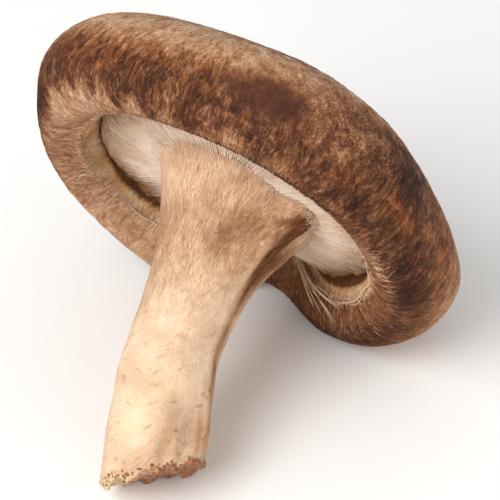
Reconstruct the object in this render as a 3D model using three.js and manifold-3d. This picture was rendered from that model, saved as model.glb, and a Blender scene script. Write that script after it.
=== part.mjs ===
// A picked shiitake mushroom lying on its side, resting on the rim of its cap and the foot of its stem.
//
// The mushroom is drawn upright first, in its own frame: +Z runs up through the crown, z = 0 is the mouth
// of the cap, and angles go anticlockwise seen from above. It grew as one piece, so the cap, the gills
// and the stem are joined into one body. That body is then laid down on the floor at z = 0.
import * as THREE from "three";
import { ParametricGeometry } from "three/addons/geometries/ParametricGeometry.js";
import { mergeVertices } from "three/addons/utils/BufferGeometryUtils.js";
import Module from "manifold-3d";

const wasm = await Module();
wasm.setup();

// Outlines round the cap, in millimetres: a mean and the [cosine, sine] size of its 1st, 2nd, 3rd... wave.
const GIRTH = { mean: 32.3, waves: [[2.0, 0.5], [0.6, 1.1], [0.2, 0.4], [0.5, 1.0]] };
const GIRTH_HEIGHT = { mean: 5.9, waves: [[1.5, 2.8], [-0.5, 0.2], [-0.4, 0.6]] };
const MOUTH = { mean: 23.5, waves: [[1.3, 0.4], [-1.0, -0.3]] };
const MOUTH_HEIGHT = { mean: 0, waves: [[0, 0], [-0.6, 0.8]] };
const LIP_WIDTH = { mean: 4.2, waves: [[-0.1, 0.3]] };
const LIP_DROP = { mean: 3.0, waves: [[0.3, 1.1], [-0.6, 1.2]] };
const WALL_HEIGHT = { mean: 3.4, waves: [[-0.1, -1.4]] };

// The dome over the girth.
const CROWN_RISE = 13.2;
const CROWN_SHIFT = new THREE.Vector2(-1.7, 0.5);
const DOME_FULLNESS = { out: 0.77, up: 0.92 };
const DENT_FADE = 5;

// A fold where the rim is pushed up, steeper on one side, and a swelling beside it that meets the floor.
const FOLD = { angle: 58, before: 21, after: 11, lift: 6.2, pinch: 1.8 };
const HEEL = { angle: 74, spread: 11, out: 0.8, down: 0.8 };

// The flesh above the gills.
const CEILING = { centre: 9.5, wallRise: 2.4 };
const WALL_UNDERCUT = 0.5;

// Gills: thin blades that hang from the ceiling, every second one reaching the stem.
const GILL_COUNT = 76;
const GILL_THICKNESS = 0.66;
const GILL_ROOT = 1.0;
const GILL_INNER = { full: 6.0, short: 13.5 };
const GILL_BELLY = 1.3;
const GILL_AT_STEM = 2.6;

// The stem follows a slightly bent line from inside the cap down to the foot.
const STEM_SPINE = [
  [2.4, 0.8, 9],
  [2.4, 0.8, 3],
  [2.9, 0.7, -7],
  [4.0, 0.6, -16],
  [5.6, 0.4, -24],
  [8.2, 0.1, -31],
  [10.9, -0.3, -37.9],
];
const STEM_RADII = [
  [0.0, 13.0],
  [0.12, 12.0],
  [0.22, 9.4],
  [0.36, 7.5],
  [0.48, 6.7],
  [0.6, 6.4],
  [0.72, 6.7],
  [0.86, 6.9],
  [0.95, 6.8],
  [1.0, 6.5],
];
const FOOT_CUT = { angle: 8, slope: 0.36 };
const FOOT_FRILL = { height: 0.35, reach: 0.045 };
const STEM_FOLD = { angle: -55, width: 16, depth: 0.9 };

// How the upright mushroom is laid down: spun on its own axis, tipped over and turned on the floor.
const LAID_DOWN = { spin: -144.4, tip: 62.9, turn: 147.2 };
const SETTLE = 0.4;

// How finely each surface is divided.
const CAP_SEGMENTS = GILL_COUNT;
const CAP_RINGS = { ceiling: 2, wall: 2, inside: 3, lip: 6, dome: 11 };
const STEM_SEGMENTS = 40;
const STEM_RINGS = { foot: 2, side: 18, top: 1 };
const STEM_RING_EASE = 0.7;

const DEGREE = Math.PI / 180;

/** The size of an outline in one direction. */
function outline(shape, angle) {
  return shape.waves.reduce(
    (sum, [c, s], i) => sum + c * Math.cos((i + 1) * angle) + s * Math.sin((i + 1) * angle),
    shape.mean,
  );
}

/** The signed turn in degrees from a named direction to an angle. */
function turnFrom(direction, angle) {
  return THREE.MathUtils.euclideanModulo(angle / DEGREE - direction + 180, 360) - 180;
}

/** 1 in the middle of the fold, fading to 0 on both sides of it. */
function foldShare(angle) {
  const turn = turnFrom(FOLD.angle, angle);
  return Math.exp(-((turn / (turn > 0 ? FOLD.after : FOLD.before)) ** 2));
}

/** 1 in the middle of the swelling, fading to 0 on both sides of it. */
function heelShare(angle) {
  return Math.exp(-((turnFrom(HEEL.angle, angle) / HEEL.spread) ** 2));
}

/** The rings that give the cap its section in one direction, each as a radius and a height. */
function section(angle) {
  const fold = foldShare(angle);
  const heel = heelShare(angle);
  const mouth = new THREE.Vector2(
    outline(MOUTH, angle) - 0.3 * FOLD.pinch * fold,
    outline(MOUTH_HEIGHT, angle) + FOLD.lift * fold,
  );
  const crest = new THREE.Vector2(
    mouth.x + outline(LIP_WIDTH, angle) + 0.5 * HEEL.out * heel,
    mouth.y - outline(LIP_DROP, angle) - HEEL.down * heel,
  );
  const shoulder = new THREE.Vector2(outline(GIRTH, angle), outline(GIRTH_HEIGHT, angle));
  const dent = new THREE.Vector2(
    HEEL.out * heel - FOLD.pinch * fold,
    0.5 * FOLD.lift * fold - HEEL.down * heel,
  );
  const girth = shoulder.clone().add(dent);
  const wall = new THREE.Vector2(mouth.x - WALL_UNDERCUT, mouth.y + outline(WALL_HEIGHT, angle));
  return { mouth, crest, girth, wall, shoulder, dent };
}

/** The height of the flesh that the gills grow from, at a radius. */
function ceilingHeight(angle, radius) {
  const { wall } = section(angle);
  const share = Math.min(1, radius / wall.x);
  return CEILING.centre + (wall.y + CEILING.wallRise - CEILING.centre) * share ** 2;
}

/** A point at a radius and height in one direction. */
function around(target, angle, radius, height) {
  return target.set(radius * Math.cos(angle), radius * Math.sin(angle), height);
}

/** The stretches of the cap's section, from the middle of the ceiling round the lip to the crown. */
const CAP_STRETCHES = [
  {
    rings: CAP_RINGS.ceiling,
    place(angle, t, target) {
      const radius = section(angle).wall.x * t;
      around(target, angle, radius, ceilingHeight(angle, radius));
    },
  },
  {
    rings: CAP_RINGS.wall,
    place(angle, t, target) {
      const { wall, mouth } = section(angle);
      const top = wall.y + CEILING.wallRise;
      around(target, angle, wall.x + (mouth.x - wall.x) * t ** 2, top + (mouth.y - top) * t);
    },
  },
  {
    rings: CAP_RINGS.inside,
    place(angle, t, target) {
      const { mouth, crest } = section(angle);
      const bend = (t * Math.PI) / 2;
      const radius = mouth.x + (crest.x - mouth.x) * (1 - Math.cos(bend));
      around(target, angle, radius, mouth.y + (crest.y - mouth.y) * Math.sin(bend));
    },
  },
  {
    rings: CAP_RINGS.lip,
    place(angle, t, target) {
      const { crest, girth } = section(angle);
      const bend = (t * Math.PI) / 2;
      const radius = crest.x + (girth.x - crest.x) * Math.sin(bend);
      around(target, angle, radius, girth.y + (crest.y - girth.y) * Math.cos(bend));
    },
  },
  {
    rings: CAP_RINGS.dome,
    place(angle, t, target) {
      const { shoulder, dent } = section(angle);
      const bend = (t * Math.PI) / 2;
      const out = Math.max(0, Math.cos(bend)) ** DOME_FULLNESS.out;
      const up = Math.sin(bend) ** DOME_FULLNESS.up;
      const edge = shoulder.clone().addScaledVector(dent, out ** DENT_FADE);
      const base = edge.y * out ** 2 + GIRTH_HEIGHT.mean * (1 - out ** 2);
      around(target, angle, edge.x * out, base + CROWN_RISE * up);
      target.x += CROWN_SHIFT.x * (1 - out);
      target.y += CROWN_SHIFT.y * (1 - out);
    },
  },
];

/** A closed skin whose rings follow a list of stretches, one after the other. */
function skin(stretches, segments) {
  const rings = stretches.reduce((sum, stretch) => sum + stretch.rings, 0);
  const place = (u, v, target) => {
    let ring = Math.round(v * rings);
    let i = 0;
    while (ring > stretches[i].rings) {
      ring -= stretches[i].rings;
      i += 1;
    }
    const angle = (Math.round(u * segments) % segments) * ((2 * Math.PI) / segments);
    stretches[i].place(angle, ring / stretches[i].rings, target);
  };
  return solid(new ParametricGeometry(place, segments, rings));
}

/** A closed geometry as a solid that can be joined and cut. */
function solid(geometry) {
  geometry.deleteAttribute("normal");
  geometry.deleteAttribute("uv");
  const merged = mergeVertices(geometry, 1e-4);
  return new wasm.Manifold(
    new wasm.Mesh({
      numProp: 3,
      vertProperties: merged.attributes.position.array,
      triVerts: new Uint32Array(merged.index.array),
    }),
  );
}

/** A gill: a blade in the plane of one direction, from the wall in to a given radius. */
function gill(angle, inner) {
  const { wall } = section(angle);
  const outer = wall.x + GILL_ROOT;
  const edge = (radius) => {
    const share = (wall.x - radius) / (wall.x - GILL_INNER.full);
    const level = wall.y + (GILL_AT_STEM - wall.y) * share;
    return level - GILL_BELLY * Math.sin(Math.PI * Math.min(1, share));
  };
  const root = (radius) => ceilingHeight(angle, radius) + GILL_ROOT;
  const middle = (inner + wall.x) / 2;
  const blade = new THREE.Shape();
  blade.moveTo(outer, wall.y);
  blade.lineTo(outer, root(outer));
  blade.lineTo(middle, root(middle));
  blade.lineTo(inner, root(inner));
  if (inner > GILL_INNER.full) {
    blade.lineTo(inner + 1.6, edge(inner + 1.6) + 0.6);
  }
  blade.lineTo(inner + (inner > GILL_INNER.full ? 3.4 : 0), edge(inner + 3.4));
  blade.lineTo(middle + 2, edge(middle + 2));
  blade.lineTo(wall.x - 2, edge(wall.x - 2));
  const geometry = new THREE.ExtrudeGeometry(blade, { depth: GILL_THICKNESS, bevelEnabled: false });
  geometry.translate(0, 0, -GILL_THICKNESS / 2);
  geometry.rotateX(Math.PI / 2);
  geometry.rotateZ(angle);
  return solid(geometry);
}

const spine = new THREE.CatmullRomCurve3(STEM_SPINE.map((p) => new THREE.Vector3(...p)));

/** The stem's radius at a share of its length, eased between the stated places. */
function stemRadius(share) {
  const next = Math.max(1, STEM_RADII.findIndex(([at]) => at >= share));
  const [from, fromRadius] = STEM_RADII[next - 1];
  const [to, toRadius] = STEM_RADII[next];
  const t = (share - from) / (to - from);
  return THREE.MathUtils.lerp(fromRadius, toRadius, THREE.MathUtils.smoothstep(t, 0, 1));
}

/** Places a point of the stem's skin, at a share of its length and a share of its radius there. */
function stemPoint(target, angle, share, spread) {
  const centre = spine.getPoint(share);
  const along = spine.getTangent(share).negate();
  const right = new THREE.Vector3(0, 1, 0).cross(along).normalize();
  const back = along.clone().cross(right);
  const foot = THREE.MathUtils.smoothstep(share, 0.8, 1);
  const frill = foot * (Math.sin(7 * angle + 2) + 0.6 * Math.sin(12 * angle) + 0.5 * Math.sin(17 * angle + 1));
  const turn = turnFrom(STEM_FOLD.angle, angle) / STEM_FOLD.width;
  const crease = STEM_FOLD.depth * turn * Math.exp(0.5 - turn ** 2) * THREE.MathUtils.smoothstep(share, 0.55, 0.9);
  const radius = spread * (stemRadius(share) * (1 + FOOT_FRILL.reach * frill) + crease);
  const cut = foot * FOOT_CUT.slope * Math.cos(angle - FOOT_CUT.angle * DEGREE) * radius;
  target.copy(centre);
  target.addScaledVector(right, radius * Math.cos(angle));
  target.addScaledVector(back, radius * Math.sin(angle));
  target.addScaledVector(along, cut + FOOT_FRILL.height * frill * spread ** 2);
}

/** The stretches of the stem's skin: across the foot, up the side and in under the flesh of the cap. */
const STEM_STRETCHES = [
  { rings: STEM_RINGS.foot, place: (angle, t, target) => stemPoint(target, angle, 1, t) },
  { rings: STEM_RINGS.side, place: (angle, t, target) => stemPoint(target, angle, (1 - t) ** STEM_RING_EASE, 1) },
  { rings: STEM_RINGS.top, place: (angle, t, target) => stemPoint(target, angle, 0, 1 - t) },
];

/** The mushroom upright in its own frame, as one solid. */
function uprightMushroom() {
  let body = skin(CAP_STRETCHES, CAP_SEGMENTS);
  for (let i = 0; i < GILL_COUNT; i += 1) {
    const angle = ((i + 0.5) / GILL_COUNT) * 2 * Math.PI;
    body = body.add(gill(angle, i % 2 ? GILL_INNER.full : GILL_INNER.short));
  }
  return body.add(skin(STEM_STRETCHES, STEM_SEGMENTS));
}

/** The solid laid down, lowered by the depth of its flats, and cut off level at the floor. */
function laidDown(upright) {
  const pose = new THREE.Matrix4()
    .makeRotationZ(LAID_DOWN.turn * DEGREE)
    .multiply(new THREE.Matrix4().makeRotationX(LAID_DOWN.tip * DEGREE))
    .multiply(new THREE.Matrix4().makeRotationZ(LAID_DOWN.spin * DEGREE));
  const tipped = upright.transform(pose.elements);
  const { min, max } = tipped.boundingBox();
  const placed = tipped.translate([-(min[0] + max[0]) / 2, -(min[1] + max[1]) / 2, -min[2] - SETTLE]);
  const floor = new THREE.BoxGeometry(200, 200, 20).translate(0, 0, -10);
  return placed.subtract(solid(floor));
}

/** A solid as a geometry for a mesh. */
function geometryOf(body) {
  const mesh = body.getMesh();
  const geometry = new THREE.BufferGeometry();
  geometry.setAttribute("position", new THREE.BufferAttribute(new Float32Array(mesh.vertProperties), 3));
  geometry.setIndex(new THREE.BufferAttribute(new Uint32Array(mesh.triVerts), 1));
  geometry.computeVertexNormals();
  return geometry;
}

const flesh = new THREE.MeshStandardMaterial({ color: 0x9a6a45, roughness: 0.85, metalness: 0 });
const mushroom = new THREE.Mesh(geometryOf(laidDown(uprightMushroom())), flesh);
mushroom.name = "mushroom";

const group = new THREE.Group();
group.add(mushroom);
export default group;
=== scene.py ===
"""A picked shiitake mushroom lying on its side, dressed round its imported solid.

The mushroom is drawn upright first, in its own frame and in millimetres: +Z runs up through the crown,
z = 0 is the mouth of the cap, and angles go anticlockwise seen from above. It is then laid down on the
floor in the row's frame, in metres. Each skin is a grid rolled round by a formula, and every coat of
fibres grows from the grid of the skin that carries it.
"""

import logging
import math
from dataclasses import dataclass, field
from enum import Enum
from typing import NamedTuple

import bmesh
import bpy
import numpy as np
from mathutils import Matrix, Vector, noise


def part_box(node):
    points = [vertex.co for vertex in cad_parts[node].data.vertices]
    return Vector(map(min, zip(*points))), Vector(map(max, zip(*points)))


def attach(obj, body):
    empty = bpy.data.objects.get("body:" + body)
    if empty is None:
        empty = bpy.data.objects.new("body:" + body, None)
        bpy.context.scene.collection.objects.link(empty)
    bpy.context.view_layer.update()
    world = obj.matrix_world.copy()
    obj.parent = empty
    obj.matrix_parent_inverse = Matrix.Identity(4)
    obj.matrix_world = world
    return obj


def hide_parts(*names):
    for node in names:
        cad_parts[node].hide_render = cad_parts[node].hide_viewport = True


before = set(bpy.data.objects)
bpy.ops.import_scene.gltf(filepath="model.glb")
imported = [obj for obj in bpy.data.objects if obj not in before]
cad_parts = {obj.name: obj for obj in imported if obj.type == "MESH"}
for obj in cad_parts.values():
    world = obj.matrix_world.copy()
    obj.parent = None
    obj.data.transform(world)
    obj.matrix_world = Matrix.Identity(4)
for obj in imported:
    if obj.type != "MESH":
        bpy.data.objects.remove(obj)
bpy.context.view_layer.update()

log = logging.getLogger("shiitake")

MM = 0.001
# How far out of the mouth the flesh of the wall reaches, in millimetres.
MOUTH_EDGE = 0.15
NODE = "mushroom"
Socket = bpy.types.NodeSocket
Colour = tuple[float, float, float, float]
Stops = tuple[tuple[float, str], ...]


# The skin's colours, from the darkest tone to the lightest.
CHESTNUT = (
    (0.0, "1E110E"),
    (0.16, "362018"),
    (0.32, "573322"),
    (0.46, "7F5033"),
    (0.6, "A47350"),
    (0.74, "C39876"),
    (0.88, "DAB898"),
    (1.0, "ECD2B8"),
)
# The colours inside the rim, from the darkest tone to the lightest.
UMBER = (
    (0.0, "4A2A14"),
    (0.3, "84552F"),
    (0.55, "C08850"),
    (0.75, "E6B580"),
    (1.0, "FBDDB4"),
)
# The stem's colours, from the darkest tone to the lightest.
STRAW = (
    (0.0, "5E341C"),
    (0.2, "8B5C3B"),
    (0.4, "BC9271"),
    (0.6, "D7B494"),
    (0.78, "EBCCAB"),
    (1.0, "F8E3CC"),
)
# The colours of the dried edge of the foot.
CRUST = (
    (0.18, "DCC49C"),
    (0.3, "D3AF88"),
    (0.42, "B98864"),
    (0.54, "9A6046"),
    (0.67, "AE7B5B"),
    (0.79, "8A6048"),
    (0.92, "C4A284"),
)


class Slot(Enum):
    """The record's material slots."""

    CAP = "cap_skin"
    GILL = "gill_flesh"
    STEM = "stem_flesh"


# ---------------------------------------------------------------------------------------------------
# Small measures
# ---------------------------------------------------------------------------------------------------


def smoothstep(value: np.ndarray, low: float, high: float) -> np.ndarray:
    """Eases a value from 0 at low to 1 at high.

    Args:
        value: The values to ease.
        low: Where the ease starts.
        high: Where the ease ends.

    Returns:
        The eased values, from 0 to 1.
    """
    t = np.clip((value - low) / (high - low), 0.0, 1.0)
    return t * t * (3.0 - 2.0 * t)


def turn_from(direction: float, angle: np.ndarray) -> np.ndarray:
    """The signed turn from a direction to an angle.

    Args:
        direction: The direction to turn from, in degrees.
        angle: The angles to turn to, in radians.

    Returns:
        The turns in degrees, from -180 to 180.
    """
    return (np.degrees(angle) - direction + 180.0) % 360.0 - 180.0


def toward(direction: float, spread: float, angle: np.ndarray, power: int = 4) -> np.ndarray:
    """How near to a direction each angle is.

    Args:
        direction: The direction, in degrees.
        spread: How far from it the share fades, in degrees.
        angle: The angles, in radians.
        power: How squarely the share fades: 2 is a bell, and more has a flatter top.

    Returns:
        The share at each angle, from 0 to 1.
    """
    return np.exp(-((turn_from(direction, angle) / spread) ** power))


def bell(value: np.ndarray, middle: float, reach: float) -> np.ndarray:
    """A bell curve over a value: 1 in the middle, and fading out past the reach."""
    return np.exp(-(((value - middle) / reach) ** 2))


def clouds(points: np.ndarray, size: float, seed: float = 0.0) -> np.ndarray:
    """Smooth noise at each point.

    Args:
        points: Points in millimetres, as rows of three.
        size: How wide a lump of the noise is, in millimetres.
        seed: Moves the noise to another place.

    Returns:
        The noise at each point, from about -1 to 1.
    """
    shape = points.shape[:-1]
    places = points.reshape(-1, 3) / size + seed
    return np.array([noise.noise(Vector(place)) for place in places]).reshape(shape)


@dataclass(frozen=True)
class Outline:
    """A size that changes with the direction.

    Attributes:
        mean: The size on average, in millimetres.
        waves: The cosine and the sine size of the first wave, the second, and so on.
        bumps: The direction, the half width in degrees and the size of each local swelling.
    """

    mean: float
    waves: tuple[tuple[float, float], ...] = ()
    bumps: tuple[tuple[float, float, float], ...] = ()

    def at(self, angle: np.ndarray) -> np.ndarray:
        """The size in each direction, the angles being in radians."""
        size = np.full_like(angle, self.mean)
        for number, (cosine, sine) in enumerate(self.waves, start=1):
            size = size + cosine * np.cos(number * angle) + sine * np.sin(number * angle)
        for direction, spread, swell in self.bumps:
            size = size + swell * toward(direction, spread, angle)
        return size


@dataclass(frozen=True)
class Patch:
    """A patch of a skin that fades out from its middle: one of another tone, or one raised or sunk.

    Attributes:
        angle: The direction of its middle, in degrees.
        arc: How far its middle is along the skin from the mouth of the cap, or from the edge of the
            foot, in millimetres.
        spread: Its half width round the skin, in degrees.
        reach: Its half width along the skin, in millimetres.
        strength: How strong it is in the middle.
        slant: How many millimetres it climbs for each degree of turn.
    """

    angle: float
    arc: float
    spread: float
    reach: float
    strength: float = 1.0
    slant: float = 0.0

    def share(self, angle: np.ndarray, arc: np.ndarray) -> np.ndarray:
        """Its strength at each angle in radians and arc in millimetres."""
        turn = turn_from(self.angle, angle)
        climb = (arc - self.arc - self.slant * turn) / self.reach
        return self.strength * np.exp(-(((turn / self.spread) ** 2 + climb**2) ** 1.5))


# ---------------------------------------------------------------------------------------------------
# Shader trees
# ---------------------------------------------------------------------------------------------------


def linear(code: str) -> Colour:
    """The linear colour of a six-digit hex code."""
    parts = [int(code[i : i + 2], 16) / 255 for i in (0, 2, 4)]
    red, green, blue = (p / 12.92 if p <= 0.04045 else ((p + 0.055) / 1.055) ** 2.4 for p in parts)
    return red, green, blue, 1.0


class Wiring:
    """Adds and joins the nodes of one shader tree."""

    def __init__(self, tree: bpy.types.NodeTree) -> None:
        """Starts work on a tree."""
        self.tree = tree

    def add(self, kind: str, *inputs: object, **settings: object) -> bpy.types.Node:
        """Adds a node of a kind, with its settings, and feeds its first inputs in order."""
        node = self.tree.nodes.new(kind)
        for name, value in settings.items():
            setattr(node, name, value)
        for key, value in enumerate(inputs):
            self.feed(node, key, value)
        return node

    def feed(self, node: bpy.types.Node, key: str | int, value: object) -> None:
        """Links a socket to an input, or sets the input to a constant."""
        if isinstance(value, Socket):
            self.tree.links.new(value, node.inputs[key])
        else:
            node.inputs[key].default_value = value

    def math(self, operation: str, first: object, second: object) -> Socket:
        """One step of arithmetic on values."""
        return self.add("ShaderNodeMath", first, second, operation=operation).outputs[0]

    def sum(self, *parts: tuple[object, float], offset: float = 0.0) -> Socket:
        """The sum of several values, each with its weight, and an offset."""
        total: object = offset
        for value, weight in parts:
            total = self.add("ShaderNodeMath", value, weight, total, operation="MULTIPLY_ADD").outputs[0]
        return total

    def blend(self, share: object, first: object, second: object) -> Socket:
        """A mix of two values."""
        node = self.add("ShaderNodeMix", data_type="FLOAT")
        for key, part in ((0, share), (2, first), (3, second)):
            self.feed(node, key, part)
        return node.outputs[0]

    def vector(self, operation: str, first: object, second: object) -> Socket:
        """One step of arithmetic on vectors."""
        return self.add("ShaderNodeVectorMath", first, second, operation=operation).outputs[0]

    def scaled(self, vector: object, factor: object) -> Socket:
        """A vector times a factor."""
        node = self.add("ShaderNodeVectorMath", vector, operation="SCALE")
        self.feed(node, "Scale", factor)
        return node.outputs[0]

    def noise(self, place: object, scale: float, detail: float, roughness: float = 0.55) -> bpy.types.Node:
        """A noise texture at a place."""
        node = self.add("ShaderNodeTexNoise", place)
        self.feed(node, "Scale", scale)
        self.feed(node, "Detail", detail)
        self.feed(node, "Roughness", roughness)
        return node

    def ease(
        self, value: object, low: float, high: float, start: float = 0.0, end: float = 1.0
    ) -> Socket:
        """Eases a value from start at low to end at high."""
        ends = (low, high, start, end)
        return self.add("ShaderNodeMapRange", value, *ends, interpolation_type="SMOOTHSTEP").outputs[0]

    def ramp(self, value: object, stops: Stops) -> Socket:
        """A colour from a value, by stops of a place and a hex code."""
        node = self.add("ShaderNodeValToRGB", value)
        elements = node.color_ramp.elements
        while len(elements) < len(stops):
            elements.new(0.5)
        for element, (place, code) in zip(elements, stops):
            element.position = place
            element.color = linear(code)
        return node.outputs[0]

    def mix(self, share: object, first: object, second: object, blend: str = "MIX") -> Socket:
        """A mix of two colours."""
        node = self.add("ShaderNodeMix", data_type="RGBA", blend_type=blend)
        self.feed(node, 0, share)
        self.feed(node, 6, first)
        self.feed(node, 7, second)
        return node.outputs[2]

    def mark(self, name: str, vector: bool = False) -> Socket:
        """What the mesh holds under a name, as a value or a vector."""
        node = self.add("ShaderNodeAttribute", attribute_name=name)
        return node.outputs["Vector" if vector else "Fac"]

    def place(self) -> Socket:
        """The place on the piece in millimetres, through a Mapping node."""
        coordinates = self.add("ShaderNodeTexCoord")
        mapping = self.add("ShaderNodeMapping", coordinates.outputs["Object"])
        self.feed(mapping, "Scale", (1 / MM, 1 / MM, 1 / MM))
        return mapping.outputs[0]

    def group(self, tree: bpy.types.NodeTree, **inputs: object) -> bpy.types.Node:
        """Places a node group with its own values."""
        node = self.add("ShaderNodeGroup", node_tree=tree)
        for name, value in inputs.items():
            self.feed(node, name, value)
        return node


def new_group(
    name: str, inputs: dict[str, str], outputs: tuple[str, ...]
) -> tuple[bpy.types.NodeTree, Wiring, bpy.types.Node, bpy.types.Node]:
    """Starts a node group with named inputs and outputs.

    Args:
        name: The group's name.
        inputs: The kind of each input socket, by name.
        outputs: The names of the outputs, which are values.

    Returns:
        The group, its wiring, and its input and output nodes.
    """
    tree = bpy.data.node_groups.new(name, "ShaderNodeTree")
    for label, kind in inputs.items():
        tree.interface.new_socket(label, in_out="INPUT", socket_type=kind)
    for label in outputs:
        tree.interface.new_socket(label, in_out="OUTPUT", socket_type="NodeSocketFloat")
    wiring = Wiring(tree)
    return tree, wiring, wiring.add("NodeGroupInput"), wiring.add("NodeGroupOutput")


def fibre_group() -> bpy.types.NodeTree:
    """Streaks of fibres that run along the third axis of the combed space.

    Returns:
        The group: "Streak" is a bundle of fibres, "Strand" a single one, both from 0 to 1.
    """
    tree, wiring, given, out = new_group(
        "Fibres",
        {
            "Lay": "NodeSocketVector",
            "Across": "NodeSocketFloat",
            "Along": "NodeSocketFloat",
            "Wander": "NodeSocketFloat",
        },
        ("Streak", "Strand"),
    )
    lay, across, along, wander = (given.outputs[name] for name in ("Lay", "Across", "Along", "Wander"))
    drift = wiring.noise(lay, 0.16, 1.0)
    centred = wiring.vector("SUBTRACT", drift.outputs["Color"], (0.5, 0.5, 0.5))
    warped = wiring.vector("ADD", lay, wiring.scaled(centred, wander))
    comb = wiring.add("ShaderNodeCombineXYZ", across, across, along)
    combed = wiring.vector("MULTIPLY", warped, comb.outputs[0])
    streak = wiring.noise(combed, 1.0, 4.0, 0.6)
    strand = wiring.noise(combed, 3.3, 3.0, 0.65)
    wiring.feed(out, "Streak", wiring.ease(streak.outputs["Fac"], 0.28, 0.72))
    wiring.feed(out, "Strand", wiring.ease(strand.outputs["Fac"], 0.3, 0.7))
    return tree


def grain_group() -> bpy.types.NodeTree:
    """Small grains and the broader mottle that they lie in.

    Returns:
        The group: "Grain" is 1 on the grains and "Mottle" is the broad tone, both from 0 to 1.
        "Drift" moves a place a little with the mottle, in millimetres.
    """
    tree, wiring, given, out = new_group(
        "Grains",
        {"Place": "NodeSocketVector", "Scale": "NodeSocketFloat"},
        ("Grain", "Mottle", "Drift"),
    )
    place = wiring.scaled(given.outputs["Place"], given.outputs["Scale"])
    fine = wiring.noise(place, 1.0, 4.0, 0.65)
    wobble = wiring.vector("ADD", place, fine.outputs["Color"])
    cells = wiring.add("ShaderNodeTexVoronoi", wobble, feature="F1")
    wiring.feed(cells, "Scale", 1.2)
    cell = wiring.ease(cells.outputs["Distance"], 0.15, 0.6, 1.0, 0.0)
    total = wiring.math("ADD", wiring.math("MULTIPLY", cell, 0.45), fine.outputs["Fac"])
    broad = wiring.noise(place, 0.14, 3.0, 0.6)
    wiring.feed(out, "Grain", wiring.ease(total, 0.42, 0.95))
    wiring.feed(out, "Mottle", wiring.ease(broad.outputs["Fac"], 0.3, 0.7))
    wiring.feed(out, "Drift", wiring.math("MULTIPLY", broad.outputs["Fac"], 3.0))
    return tree


def ragged_group() -> bpy.types.NodeTree:
    """A patch's mask with a ragged, fringed border.

    Returns:
        The group: "Mask" is 1 in the patch and 0 outside it.
    """
    tree, wiring, given, out = new_group(
        "Ragged patch",
        {"Patch": "NodeSocketFloat", "Fringe": "NodeSocketFloat", "Depth": "NodeSocketFloat"},
        ("Mask",),
    )
    centred = wiring.math("SUBTRACT", given.outputs["Fringe"], 0.5)
    frayed = wiring.math("MULTIPLY", centred, given.outputs["Depth"])
    total = wiring.math("ADD", given.outputs["Patch"], frayed)
    wiring.feed(out, "Mask", wiring.ease(total, 0.32, 0.62))
    return tree


@dataclass(frozen=True)
class Effects:
    """The node groups that the finishes share, built once.

    Attributes:
        fibres: Streaks of fibres.
        grains: Grains and the mottle that they lie in.
        ragged: A patch with a ragged border.
    """

    fibres: bpy.types.NodeTree
    grains: bpy.types.NodeTree
    ragged: bpy.types.NodeTree


class Surface(NamedTuple):
    """What a finish gives the shader: the colour, where it is rough, and the fine relief."""

    colour: Socket
    gloss: Socket
    height: Socket


@dataclass(frozen=True)
class Finish:
    """A finish of the mushroom's flesh. Each one paints its own colour and relief.

    Attributes:
        name: The material's name.
        roughness: The roughness where the surface is smoothest and where it is roughest.
        scatter: How much light passes through the flesh.
        depth: How deep the fine relief is, in metres.
    """

    name: str
    roughness: tuple[float, float]
    scatter: float
    depth: float

    def paint(self, wiring: Wiring, effects: Effects) -> Surface:
        """Works out the surface, as each finish does in its own way.

        Args:
            wiring: The material's wiring.
            effects: The node groups that the finishes share.

        Returns:
            The surface.
        """
        raise NotImplementedError

    def material(self, effects: Effects) -> bpy.types.Material:
        """Makes the material.

        Args:
            effects: The node groups that the finishes share.

        Returns:
            The material.
        """
        material = bpy.data.materials.new(self.name)
        material.use_nodes = True
        wiring = Wiring(material.node_tree)
        surface = self.paint(wiring, effects)
        bump = wiring.add("ShaderNodeBump")
        wiring.feed(bump, "Strength", 1.0)
        wiring.feed(bump, "Distance", self.depth)
        wiring.feed(bump, "Height", surface.height)
        shader = material.node_tree.nodes["Principled BSDF"]
        wiring.feed(shader, "Base Color", surface.colour)
        wiring.feed(shader, "Roughness", wiring.ease(surface.gloss, 0.0, 1.0, *self.roughness))
        wiring.feed(shader, "Normal", bump.outputs[0])
        wiring.feed(shader, "Subsurface Weight", self.scatter)
        wiring.feed(shader, "Subsurface Radius", (1.0, 0.55, 0.3))
        wiring.feed(shader, "Subsurface Scale", 0.0012)
        wiring.feed(shader, "Specular IOR Level", 0.15)
        return material


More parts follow.
